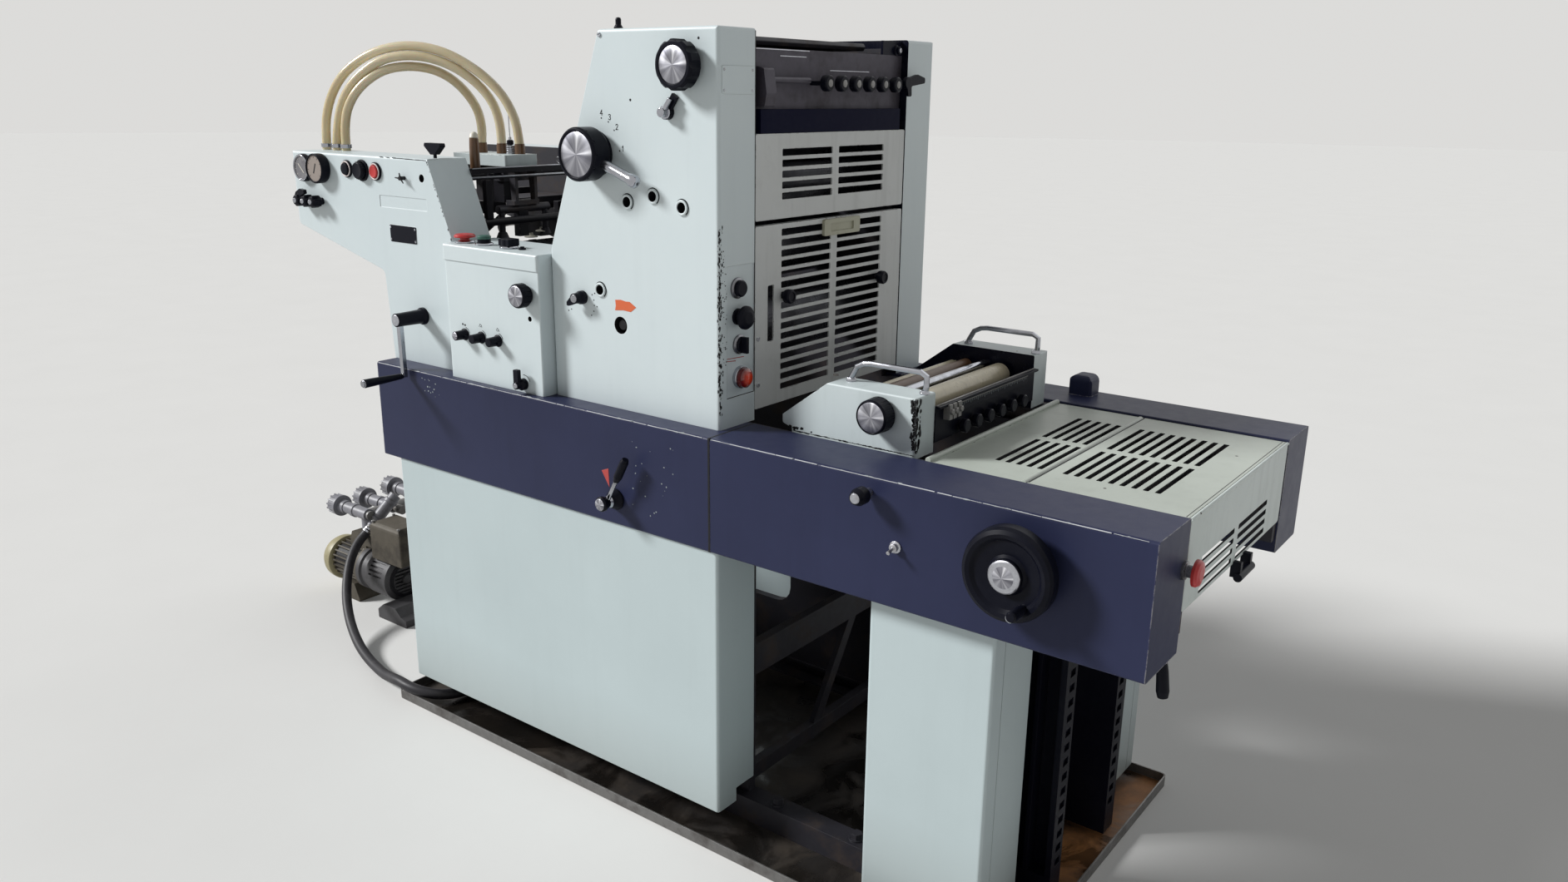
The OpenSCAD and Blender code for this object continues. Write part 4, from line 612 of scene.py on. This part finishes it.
split("push_buttons", "bezel", lambda x, y, z: 140 < x < 149.5 and (z > 1005 or 905 < z < 955)
      and math.hypot(y + (276 if z > 1000 else 271), z - (1029 if z > 1000 else 931)) > 13.2)
split("push_buttons", "red", lambda x, y, z: x < -495 or x > 952)
split("push_buttons", "bezel", lambda x, y, z: 900 < x < 952)
split("suction_head", "iron", lambda x, y, z: z < 1189.5)
split("ink_fountain", "iron", lambda x, y, z: z > 1426)
split("delivery_chain", "steel", lambda x, y, z: abs(y) < 203 and z < 690)
split("pump_motor", "pump_cast", lambda x, y, z: z > 150)
split("vacuum_pump", "cream", lambda x, y, z: x < -1414.5 and z < 150)
split("vacuum_pump", "dull_alu", lambda x, y, z: z > 190)
split("vacuum_pump", "valve_grey", lambda x, y, z: z > 200 and x < -1372)
for low, high, mat in ((311, 329, "roller_cream"), (336, 364, "brown"), (379, 397, "chrome"),
                       (398, 450, "roller_cream")):
    split("damper_rollers", mat, lambda x, y, z, a=low, b=high: a < x < b)
split("drip_tray", "tray_rim", lambda x, y, z: z > 4)

# Turned aluminium faces with painted highlight streaks
FACES = [
    ("dial_face", 38.4, (-134, -373.6, 1243), "impression_dial", 0.3),
    ("ink_knob_face", 29.5, (80, -360.4, 1390), "ink_knob", 0.3),
    ("damper_dial_face", 25.2, (421, -275.6, 848), "damper_dial", 0.3),
    ("wheel_face", 24.8, (742, -420.6, 703), "delivery_handwheel", 6.2),
    ("speed_face", 19.4, (-302, -382.4, 979.5), "speed_dial", 0.4),
    ("throttle_face", 11, (-64, -414.4, 630), "throttle_lever", 0.6),
    ("lever_face", 7.4, (-490, -381.8, 880), "control_lever_1", 0.8),
]
for n, r, at, body, dome in FACES:
    disc_face(n, r, at, body, dome)
with Piece("ink_key_faces", "dull_alu") as p:
    for k in range(6):
        p.lathe([(6.6, -0.6), (6.6, 0.2), (5.6, 0.7), (0, 0.9)], (173.2, -52 + 45.2 * k, 1366), "+x", 32)


# Printed marks stand a hair proud of the paint. The faces they are on are named by their y.
TOWER_FACE, BEAM_FACE, BOX_FACE, COVER_FACE = -326, -372, -356, -322
DIGITS = {
    1: [[(-1.6, 2.4), (0.6, 4.5), (0.6, -4.5)]],
    2: [[(-2.3, 2.6), (-1.2, 4.3), (1.2, 4.3), (2.3, 2.6), (1.6, 0.4), (-2.4, -4.4), (2.5, -4.4)]],
    3: [[(-2.2, 3.4), (-0.8, 4.4), (1.4, 4.2), (2.2, 2.6), (1.2, 0.6), (0, 0.3), (1.6, -0.2), (2.4, -2.4), (1.2, -4.3),
         (-1.0, -4.4), (-2.4, -3.2)]],
    4: [[(1.2, -4.5), (1.2, 4.5), (-2.6, -1.6), (2.8, -1.6)]],
}
with Piece("printed_marks", "ink", 20) as p:
    for digit, x, z, dx, dz in ((4, -118.4, 1312.6, -118.6, 1303.6), (3, -98.6, 1305.6, -101.8, 1297.6),
                                (2, -81.7, 1289.6, -88.4, 1283.8), (1, -68.7, 1253.6, -76.4, 1249.6)):
        for stroke in DIGITS[digit]:
            p.ribbon([(x + u, z + v) for u, v in stroke], 1.25, TOWER_FACE)
        p.dot(1.4, dx, TOWER_FACE, dz)
    for x, z in ((-212.4, 958.8), (-219.8, 955.5), (-156.6, 991.5), (-149.6, 994.7), (-152.5, 982.1), (-151.8, 972.4),
                 (-144.9, 970.7), (-153.5, 961.5), (-159.7, 953.3)):
        p.dot(1.3, x, TOWER_FACE, z, 12)
    for x, z in ((-48.2, 1334.6), (105.6, 1431.4)):
        p.dot(2.2, x, TOWER_FACE, z)
    for x, z in ((-495.8, 900), (-488.7, 898.9)):
        p.dot(2.2, x, BOX_FACE, z)
    for x, z in ((-441.5, 903.5), (-390.3, 901.6)):
        p.ribbon([(x - 4, z - 2), (x - 1, z + 3), (x + 3, z + 1), (x + 4, z - 3)], 0.9, BOX_FACE)
        p.ribbon([(x - 1, z - 3), (x + 1.5, z - 1)], 0.9, BOX_FACE)
    for x, z, r, low, high in ((-490, 880, 14.5, 20, 76), (-439.5, 880, 14.5, 20, 76), (-390, 880, 14.5, 20, 76),
                               (-320, 804.5, 18, 24, 96)):
        p.ribbon(arc(x, z, r, low, high, 8), 1.2, BOX_FACE)
with Piece("sight_rings", "mint") as p:
    for x, z in SIGHTS:
        p.lathe([(9.2, -2.4), (9.2, 0.1), (10.2, 0.8), (12.2, 0.8), (13.1, 0.1), (13.1, -2.4), (9.2, -2.4)],
                  (x, -328.5, z), "-y", 48)
# Dark arcs round the sight rings: their groove, with painted shadow wide over the top and right and thin at the left
with Piece("sight_groove_shadows", "ink", 20) as p:
    for x, z in SIGHTS:
        for low, high, width in ((-52, 140, 1.7), (140, 206, 0.8)):
            p.ribbon(arc(x, z, 14, low, high, 24), width, TOWER_FACE)
with Piece("arrow_mark", "mark_orange", 20) as p:
    p.prism([(-97.7, 988.8), (-84, 990.2), (-71, 988.4), (-62.1, 989), (-46, 980.3), (-59.6, 970.7), (-78, 971.8),
                   (-98.5, 969.7), (-96.6, 979)], "y", TOWER_FACE, TOWER_FACE - 0.3)
with Piece("beam_mark", "mark_red", 20) as p:
    p.prism([(-99.3, 678.3), (-81.8, 685.1), (-80.2, 648.9)], "y", BEAM_FACE, BEAM_FACE - 0.3)
with Piece("return_lines", "mark_red", 20) as p:
    for z, x in ((909, -257), (905, -280)):
        p.prism([(-305, z), (x, z - 2.4), (x, z - 1.2), (-305, z + 1.2)], "x", 144, 144.3)
with Piece("plate_screws", "steel", 30) as p:
    p.screw((-117.6, TOWER_FACE, 1440.5), "-y", 4.2, 2.2, 0.5)
    for x, z in ((-756, 1045), (-674, 1045), (-756, 1070), (-674, 1070)):
        p.screw((x, -322.9, z), "-y", 2.4, 1.2, 0.3)
    for z in (931.9, 848.7):
        p.screw((145, -219, z), "+x", 4.2, 2.0, 0.9)
    p.screw((-268.2, -325, 1043), "+x", 4.0, 2.0, 0.4)
    for y, z in ((-312, 1352), (-239, 1352), (-312, 1384), (-239, 1384)):
        p.screw((147, y, z), "+x", 2.2, 1.0, 0.2)
with Piece("shadow_gaps", "ink", 20) as p:
    p.box(146, 146.3, -231.5, -229.9, 841, 1446)
    p.box(144, 144.3, -306, -231, 838.6, 840.4)
    p.box(157.8, 162.2, -372.4, -371, 581, 787)
    p.box(158.2, 161.8, -371, -250, 786.4, 787.3)
    p.box(684.6, 686.6, -238, 238, 783.9, 784.3)
    p.box(927.6, 928.6, -240, 240, 783.9, 784.2)

with Piece("cover_roll", "cover", 60) as p:
    p.tube([(678, -240, 780), (678, 240, 780)], 6.4, 24)
with Piece("lamp_ring", "chrome") as p:
    p.lathe([(19.8, 0.4), (19.8, 6.6), (19.2, 7.6), (18, 7.6), (17.6, 6.6), (17.6, 0.4), (19.8, 0.4)],
              (144, -269, 873), "+x", 48)
with Piece("lamp_edge", "lamp_dark") as p:
    p.lathe([(17.7, 6), (17.9, 8.4), (17.0, 11), (16.9, 6), (17.7, 6)], (144, -269, 873), "+x", 48)

# Feeder's gauges, buttons, air knobs and star knob stand for their plain solids
with Piece("gauge_bodies", "black", slot="black_plastic") as p:
    p.lathe([(0, 0), (30, 0), (30, 8), (28.8, 11.6), (27, 12), (26, 12), (26, 10), (0, 10)],
              (-1055, COVER_FACE, 1178.5), "-y", 72)
    p.lathe([(0, 0), (30.5, 0), (31.4, 1.2), (32, 6), (32, 19), (31.2, 20.6), (30, 21), (28.8, 21),
                   (28.8, 18.5), (0, 18.5)], (-990, COVER_FACE, 1180), "-y", 72)
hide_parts("feeder_gauges")
for key, x, z, y, r, face, ring, ink, width, needle in (
        ("a", -1055, 1178.5, -332, 25.8, "smoked", "chrome", "white", 2.2, ((-10, 8), (8, -10))),
        ("b", -990, 1180, -340.5, 28.4, "dial", "black", "ink", 3.4, ((-4, -9), (4, 9)))):
    with Piece(f"gauge_{key}_face", face, 32) as p:
        p.lathe([(r, -0.8), (r, 0.6), (0, 0.6)], (x, y, z), "-y", 64)
    with Piece(f"gauge_{key}_ring", ring, 32) as p:
        p.lathe([(r + 3, 1.2), (r + 2, 3.0), (r + 0.2, 3.0), (r - 0.8, 2.0), (r - 0.8, 0.4), (r + 3, 0.4), (r + 3, 1.2)],
                (x, y, z), "-y", 72)
    with Piece(f"gauge_{key}_needle", ink, 20) as p:
        p.ribbon([(x + u, z + v) for u, v in needle], width, y - 0.6)
        for tick in zip(arc(x, z, r - 6, -40, 220, 8), arc(x, z, r - 2.5, -40, 220, 8)):
            p.ribbon(tick, 0.8, y - 0.6)
BUTTONS = ((-895, 1183, 18.5), (-841, 1182, 22.5), (-793, 1182, 19))
with Piece("button_bezels", "black", slot="black_plastic") as p:
    for x, z, r in BUTTONS:
        p.lathe([(0, 0), (r, 0), (r, 3), (r - 1.8, 4.8), (r - 3, 4.8), (r - 3, 1), (0, 1)], (x, COVER_FACE, z),
                  "-y", 48)
    x, z, r = BUTTONS[0]
    p.lathe([(12.4, 1), (12.4, 8), (11.4, 9.4), (6, 10), (0, 10.2)], (x, COVER_FACE, z), "-y", 48)
    x, z, r = BUTTONS[1]
    p.lathe([(17, 1), (18, 12), (16.6, 14.6), (15.4, 15.2), (13, 14.6), (0, 14.2)], (x, COVER_FACE, z), "-y", 48)
    for k in range(20):
        a = k * math.pi / 10
        p.box(-0.7, 0.7, -0.9, 0.9, 4, 12.4, AXES["-y"] @ Matrix.Rotation(a, 3, "Z"),
                (x + 18 * math.cos(a), COVER_FACE, z + 18 * math.sin(a)))
with Piece("button_rings", "pink") as p:
    for x, z, r in (BUTTONS[0], BUTTONS[2]):
        p.lathe([(r - 2, 4), (r - 2, 5.6), (r - 2.6, 6.2), (r - 4.6, 5.8), (r - 4.6, 4), (r - 2, 4)],
                  (x, COVER_FACE, z), "-y", 48)
with Piece("red_button", "red") as p:
    x, z, r = BUTTONS[2]
    p.lathe([(13.2, 1), (13.2, 7.6), (12, 9), (10.6, 8.4), (0, 8)], (x, COVER_FACE, z), "-y", 48)
AIR_KNOBS = (-1061, -1032, -1001.5)
AIR_Z = 1108.4
with Piece("air_knobs", "black", 34, slot="black_plastic") as p:
    for x in AIR_KNOBS:
        p.lathe([(0, 0), (8, 0), (8, 5), (11.4, 8), (11.8, 11), (11.2, 26), (10, 29), (5.6, 30), (0, 30)],
                  (x, COVER_FACE, AIR_Z), "-y", 36)
        for u, v in circle(10.4, 6, 0.3):
            p.lathe([(0, 0), (3.0, 1), (3.4, 4), (3.2, 17), (2, 19), (0, 19.4)],
                    (x + u, COVER_FACE - 8, AIR_Z + v), "-y", 14)
    p.prism([(-1066, 1101), (-1074, 1112), (-1066, 1126), (-1050, 1134), (-1034, 1132), (-1033, 1124),
                   (-1046, 1120), (-1053, 1110)], "y", -338, -346)
with Piece("air_knob_ends", "chrome") as p:
    for x in AIR_KNOBS:
        p.lathe([(5.4, -0.6), (5.4, 1.4), (4, 3.2), (0, 3.9)], (x, COVER_FACE - 30, AIR_Z), "-y", 28)
with Piece("star_knob", "ink", 30) as p:
    p.lathe([(0, 0), (4, 0), (4, 8), (4.8, 9), (4, 13.4), (0, 14)], (-697, COVER_FACE, 1173), "-y", 20)
    for dx, dz in ((-14, 1), (1, 11), (12, -9)):
        p.tube([(-697, -333, 1173), (-697 + dx * 0.6, -334, 1173 + dz * 0.6), (-697 + dx, -335, 1173 + dz)],
                 (1.9, 1.6, 1.1), 10)

# The impression dial's stout chrome lever lies over the slim one
LEVER_L, LEVER_TURN = 117, math.radians(20)
with Piece("dial_lever", "chrome", 50, body="impression_dial") as p:
    p.lathe([(8.8, 40), (9.4, 56), (9.4, LEVER_L - 10), (10.6, LEVER_L - 5), (11.2, LEVER_L + 2),
             (10.4, LEVER_L + 8), (6, LEVER_L + 11), (0, LEVER_L + 12)], (-134, -350, 1243),
            (math.cos(LEVER_TURN), 0, -math.sin(LEVER_TURN)))

# Control box's lid: bare plate, bright flanges, a green cap and a square one
LID_Z = 1056
LID_Y = -318
with Piece("lid_flanges", "chrome") as p:
    for x, r in ((-521, 20), (-462, 18), (-389, 18.5)):
        p.lathe([(r - 7, 0.6), (r, 0.6), (r, 2.6), (r - 1.6, 4.2), (r - 7, 4.2), (r - 7, 0.6)], (x, LID_Y, LID_Z),
                  "+z", 40)
with Piece("green_cap", "green") as p:
    p.lathe([(13.4, 12), (13.6, 17), (12, 18.6), (0, 19)], (-462, LID_Y, LID_Z), seg=36)
with Piece("square_cap", "black", 30, 1.6) as p:
    p.box(-403.5, -374.5, LID_Y - 13.5, LID_Y + 13.5, LID_Z + 5, LID_Z + 18)
# Feeder: hoses' sleeves and clamps, the head's fittings and the dark mechanism between the covers
with Piece("hose_sleeves", "brown") as p:
    for x, y, z in ((-655, -50, 1214), (-700, -62, 1214), (-762, -66, 1214)):
        p.tube([(x, y, z), (x, y, z + 12), (x, y, z + 22)], (11.6, 11.4, 10.8), 24)
with Piece("hose_clamps", "chrome", 30) as p:
    for x, y, z in ((-1085, -245, 1220), (-1045, -245, 1220), (-1010, -245, 1220)):
        p.lathe([(12.2, 0), (12.2, 8), (10.2, 8), (10.2, 0), (12.2, 0)], (x, y, z), seg=32)
        p.box(x - 16, x - 10, y - 4, y + 4, z, z + 8)
with Piece("head_stud", "steel", 30) as p:
    p.tube([(-674, -60, 1213), (-674, -60, 1250)], 3.2, 16)
    for k in range(4):
        p.lathe([(0, 0), (9.5, 0.6), (9.5, 3.4), (0, 4)], (-674, -60, 1214 + 4.6 * k), seg=28)
with Piece("head_nut", "black", 30) as p:
    p.lathe([(0, 0), (6, 0), (7.5, 2), (7.5, 9), (5, 11), (0, 11)], (-674, -60, 1233), seg=12)
with Piece("head_wire", "steel", 60) as p:
    p.tube(smooth_route([(-674, -60, 1250), (-675, -60, 1275), (-677, -58, 1300), (-676, -55, 1322),
                               (-684, -62, 1344), (-694, -66, 1356)], 4), 1.3, 8)
# Thin steel strips along the bars' top edges, painted highlight lines
with Piece("bar_edge_highlights", "steel", 30, 0.4) as p:
    p.box(-604.5, -603, -223, 223, 1190.5, 1192.5)
    p.box(-607.5, -606, -223, 223, 1171.5, 1174.5)
    p.box(-606, -600, 30, 223, 1196, 1199)
with Piece("head_springs", "steel", 50) as p:
    for y in (28, 60):
        turns = [k * math.pi / 6 for k in range(150 if y == 60 else 24)]
        p.tube([(-622 + 6.5 * math.cos(a), y + a * 1.05, 1200 + 6.5 * math.sin(a)) for a in turns], 1.1, 6)
with Piece("suckers", "white") as p:
    for at in ((-642, -8, 1046), (-678, -10, 1030)):
        p.lathe([(5, 8), (6, 3), (15, 0), (15, -1.6), (5, -0.6), (5, 8)], at, seg=32)
with Piece("feeder_works", "black_paint", 30, 1.2) as p:
    p.box(-716, -664, 6, 66, 1030, 1074)
    p.box(-646, -628, -84, -58, 1040, 1110)
    p.box(-640, -616, 84, 140, 1052, 1168)
    p.box(-700, -660, -96, -58, 1112, 1166)
    p.box(-760, -742, -40, 60, 1120, 1134)
    p.box(-720, -704, 100, 118, 1010, 1100)
    p.tube([(-742, 0, 1102), (-780, -30, 1054), (-800, -48, 1030)], 6, 12)
    for y in (-150, 150):
        p.tube([(-636, y, 1178), (-640, y, 1120), (-652, y, 1082)], 7, 12)
with Piece("feeder_rods", "dull_alu", 50) as p:
    p.tube(smooth_route([(-722, 20, 1054), (-770, 14, 1052), (-790, 0, 1046), (-770, -20, 1040),
                               (-700, -60, 1026), (-640, -100, 1014)], 4), 6, 14)
    for x, y, z in ((-742, -6, 1100), (-684, -8, 1104)):
        p.lathe([(0, 0), (8, 0), (9, 3), (9, 10), (6, 13), (0, 14)], (x, y, z), "-y", 24)
    for y in (-206, 206):
        p.lathe([(0, 0), (12, 0), (12, 5), (7, 8), (7, 14), (0, 14)], (-640, y, 1010), "-y" if y > 0 else "+y", 28)
with Piece("top_chips", "ink", 20) as p:
    edge = [(-777 + 154 * k / 14, 1212.6 - 0.13 * k + 0.4 * rng.random()) for k in range(15)]
    for a, b in zip(edge, edge[1:]):
        if rng.random() < 0.86:
            p.ribbon([a, b], vary(0.9, 0.9), COVER_FACE)

# Trough edges, scale with its ticks and clamps, a screw and the bail nuts of the damping unit
with Piece("trough_edges", "dull_alu", 30, 0.3) as p:
    p.box(486.4, 490, -181, 181, 858.6, 860)
    p.box(494, 495.4, -131, 141, 852.6, 854)
with Piece("damper_scale", "black", 30, 0.3) as p:
    p.box(494, 494.8, -130, 140, 838.6, 852.4)
with Piece("damper_ticks", "grey_mark", 20) as p:
    for k in range(53):
        y = -126 + 5 * k
        p.box(494.8, 495.0, y, y + 0.9, 852 - (6 if k % 5 == 0 else 3.4), 852)
with Piece("scale_clamps", "dull_alu", 30, 0.8) as p:
    for y in (-152, -138, -122):
        p.box(486, 500, y - 5, y + 5, 832, 858)
        p.lathe([(0, 0), (5.5, 0), (5.5, 4), (4, 5), (0, 5)], (500, y, 846), "+x", 6)
    p.screw((300, -200, 886), "+z", 5, 2.4, 0.7)
with Piece("bail_nuts", "chrome", 30) as p:
    for s in (-1, 1):
        for x in (335, 478):
            p.lathe([(5.2, 0), (9.4, 0), (9.4, 2.2), (7, 6), (5.2, 6.6)], (x, s * 205, 883.2), seg=6)

# Torn patches of bare dark metal, thickest along edges: a face is its axis, its place and how far paint is off
DAMPER_SIDE, DAMPER_END = ("y", -243, -243.25), ("x", 486, 486.25)
TOWER_SIDE, TOWER_END = ("y", TOWER_FACE, TOWER_FACE - MARK), ("x", 146, 146.25)
BEAM_SIDE, BEAM_SCRATCH = ("y", BEAM_FACE, BEAM_FACE - MARK), ("y", BEAM_FACE, -372.2)


def scatter(p, *rows):
    """Rows of how many patches, then vary()'s numbers for their place and size, their face and their stretch"""
    for count, u, v, r, face, stretch in rows:
        for _ in range(count):
            p.patch((vary(*u), vary(*v)), vary(*r), face, stretch)


with Piece("torn_paint", "ink", 20) as p:
    for k in range(16):
        p.patch((vary(484.6, -2.4), 800 + 5.2 * k), vary(2.6, 2.2), DAMPER_SIDE, (1, 1))
    for k in range(58):
        p.patch((244 + 4.2 * k, vary(787.6, 0.5)), vary(1.0, 1.5, 2), DAMPER_SIDE, (2.6, 0.7))
    for k in range(9):
        p.patch((236 + 8 * k * rng.random(), vary(790, 5)), vary(1.4, 1.8), DAMPER_SIDE, (1.5, 1))
    scatter(p, (34, (-241, 15, 1.6), (792, 92), (1.6, 3.6, 1.5), DAMPER_END, (0.9, 1.5)),
            (60, (145.4, -3, 3), (830, 300), (0.8, 1.6), TOWER_SIDE, (0.6, 1.5)),
            (150, (-325.6, 9, 2), (815, 320), (0.7, 1.9), TOWER_END, (0.8, 1.5)),
            (40, (-317, 11), (900, 200), (0.5, 1.1), TOWER_END, (1, 1)))
    for k in range(14):
        t = rng.random() ** 1.5
        p.patch((-622.6 + 64 * t, 1211 - 154 * t), vary(0.7, 1.3), ("y", COVER_FACE, COVER_FACE - MARK), (0.8, 1.6))
    scatter(p, (14, (478, 5), (796, 84), (1.4, 3.4, 2), DAMPER_SIDE, (0.8, 1.7)))
with Piece("beam_chips", "grey_mark", 20) as p:
    scatter(p, (46, (-770, 930), (786.4, -1.2), (1.2, 2.2, 2), BEAM_SIDE, (2.6, 0.55)),
            (40, (165, 765), (786.4, -1.2), (1.0, 1.8, 2), BEAM_SIDE, (2.6, 0.55)),
            (22, (-30, 110), (610, 150), (0.6, 1.2), BEAM_SCRATCH, (1, 1)),
            (14, (-620, 60), (740, 34), (0.8, 1.4), BEAM_SCRATCH, (1, 1)))
with Piece("beam_bare_edge", "bare_edge", 20) as p:
    x = -768
    while x < 930:
        run = vary(16, 90, 2)
        if not (x + run > 152 and x < 168):
            p.ribbon([(x, vary(785.3, 0.5)), (x + run, vary(785.3, 0.5))], vary(0.7, 0.9), BEAM_FACE, 0.3)
        x += run + 1 + 9 * rng.random() ** 2
with Piece("wheel_handle_end", "chrome", body="delivery_handwheel") as p:
    p.lathe([(0, 0), (7.6, 0), (7.6, 3), (6.4, 4.4), (4.6, 4.4), (4.2, 3), (0, 3)], (756, -418.4, 645), "-y", 28)
    p.tube([(758, -420, 648), (770, -420, 668)], 2, 12)
with Piece("fountain_glints", "steel", 30, 0.3) as p:
    p.box(131, 132.8, -216, -61, 1418.6, 1420.2)
    p.box(130.8, 132.4, -145, -70, 1408.6, 1410)
    p.box(130, 131.6, 5, 133, 1387.8, 1389)
with Piece("cheek_plate", "cheek", 30, 0.8) as p:
    p.box(126, 131, 180, 248, 1418, 1447)
    p.lathe([(0, 0), (10, 0), (10, 2.5), (7.4, 3.4), (7.4, 8), (6, 9), (0, 9)], (131, 229, 1430), "+x", 24)
with Piece("cheek_bolt", "steel") as p:
    p.lathe([(4.4, 0), (4.4, 0.8), (2.6, 1.6), (2.2, 0.6), (0, 0.6)], (140, 229, 1430), "+x", 20)
with Piece("head_pipe", "brown", 50) as p:
    p.tube([(-640, -186, 1190), (-640, -186, 1216), (-641, -185, 1240), (-642, -184, 1252)],
             (10.5, 10.5, 10, 9.4), 24)
with Piece("head_pipe_end", "white", 50) as p:
    p.tube([(-642, -184, 1251), (-642, -183, 1258), (-642, -181, 1263)], (9.6, 8.6, 4.5), 24)

# Delivery: toggle switch
with Piece("toggle", "steel") as p:
    p.lathe([(0, 0), (10, 0), (10, 2), (7, 3), (7, 9), (5, 10), (0, 10)], (536, -372, 683), "-y", 12)
    p.tube([(536, -381, 683), (537, -396, 680)], (2.2, 3.2), 12)

# Pump: rounded end cover, ribbed filter caps with their stout pipes, bolts and screws
with Piece("pump_dome", "dome", 50) as p:
    p.lathe([(0, 67), (20, 64), (38, 55), (52, 42), (60, 27), (62, 14), (62, 3), (58, 0), (0, 0)], (-1411, -90, 88),
              "-x", 56)
VALVES = ((-1440, -101, 246), (-1440, -21, 246), (-1452, 78, 250))
with Piece("valve_ribs", "valve_grey", 30, 0.6) as p:
    for x, y, z in VALVES:
        for k in range(14):
            p.box(x + 5, x + 31, -1.8, 1.8, 23, 28, Matrix.Rotation(k * math.pi / 7, 3, "X"), (0, y, z))
with Piece("valve_pipes", "valve_grey") as p:
    for x, y, z in VALVES:
        p.lathe([(13, 40), (18.5, 41), (18.5, 48), (16, 50), (16, 92), (18.5, 94), (18.5, 106), (16, 108),
                       (16, 160), (13, 161)], (x, y, z), "+x", 36)
    for low, high, r in ((4, 12, 12.5), (12, 26, 15), (26, 32, 18.5), (32, 82, 16), (82, 92, 18.5), (92, 109, 16)):
        p.lathe([(r - 1, low), (r, low + 0.8), (r, high - 0.8), (r - 1, high)], (-1276, -103, 211), (22, 73, 79),
                  36)
    p.lathe([(15, 0), (17, 1), (17, 40), (15, 41)], (-1302, -90, 196), seg=36)
with Piece("hose_bands", "chrome", 30) as p:
    for low in (1, 9):
        p.lathe([(12.1, low), (13, low), (13, low + 5), (12.1, low + 5), (12.1, low)], (-1276, -103, 211),
                  (-22, -73, -79), 36)
with Piece("pump_bolts", "dull_alu", 30) as p:
    for u, v in circle(55, 8, math.pi / 8):
        p.lathe([(0, 0), (5, 0), (5, 4), (4, 5), (0, 5)], (-1298, -90 + u, 92 + v), "-x", 6)
    for x in (-1108, -1218):
        for y in (-130, -66):
            p.lathe([(0, 0), (4.5, 0), (4.5, 3), (3.5, 4), (0, 4)], (x, y, 249.5), seg=6)
with Piece("motor_fan_rim", "black_paint") as p:
    p.lathe([(40, 0), (50, 0), (50, 2.4), (40, 2.4), (40, 0)], (-1150, -90, 92), "+x", 48)


# Floor, world and lamps
PALE = (0.78, 0.775, 0.76)


def make_stage():
    bpy.ops.mesh.primitive_circle_add(vertices=96, radius=40, fill_type="NGON", location=(0, 0, -0.0005))
    floor = bpy.context.object
    floor.name = "floor"
    s = Shader("floor")
    colour = s.mix(s.ramp(s.noise(3, 5, 0.6), 0.3, 0.7), PALE, (0.765, 0.76, 0.745))
    floor.data.materials.append(s.out(Base_Color=colour, Roughness=1.0, Specular_IOR_Level=0.0))
    world = bpy.data.worlds.new("world")
    scene.world = world
    world.use_nodes = True
    tree = world.node_tree
    tree.nodes.clear()
    pick = tree.nodes.new("ShaderNodeMixShader")
    for k, colour, strength in ((1, (0.97, 0.965, 0.955), 0.22), (2, PALE, 0.92)):
        light = tree.nodes.new("ShaderNodeBackground")
        light.inputs[0].default_value = (*colour, 1)
        light.inputs[1].default_value = strength
        tree.links.new(light.outputs[0], pick.inputs[k])
    path = tree.nodes.new("ShaderNodeLightPath")
    seen = path.outputs["Is Camera Ray"]
    for ray in ("Is Glossy Ray", "Is Transmission Ray"):
        most = tree.nodes.new("ShaderNodeMath")
        most.operation = "MAXIMUM"
        tree.links.new(seen, most.inputs[0])
        tree.links.new(path.outputs[ray], most.inputs[1])
        seen = most.outputs[0]
    tree.links.new(seen, pick.inputs[0])
    tree.links.new(pick.outputs[0], tree.nodes.new("ShaderNodeOutputWorld").inputs[0])
    for name, source, strength, spread, colour in (
            ("key", (-0.69, -0.49, 0.54), 3.9, 13, (0.985, 0.99, 0.99)),
            ("back", (0.25, 0.80, 0.55), 0.45, 60, (0.95, 0.98, 1))):
        data = bpy.data.lights.new(name, "SUN")
        data.energy, data.angle, data.color = strength, math.radians(spread), colour
        lamp = bpy.data.objects.new(name, data)
        lamp.rotation_euler = (-Vector(source)).to_track_quat("-Z", "Y").to_euler()
        scene.collection.objects.link(lamp)


make_stage()
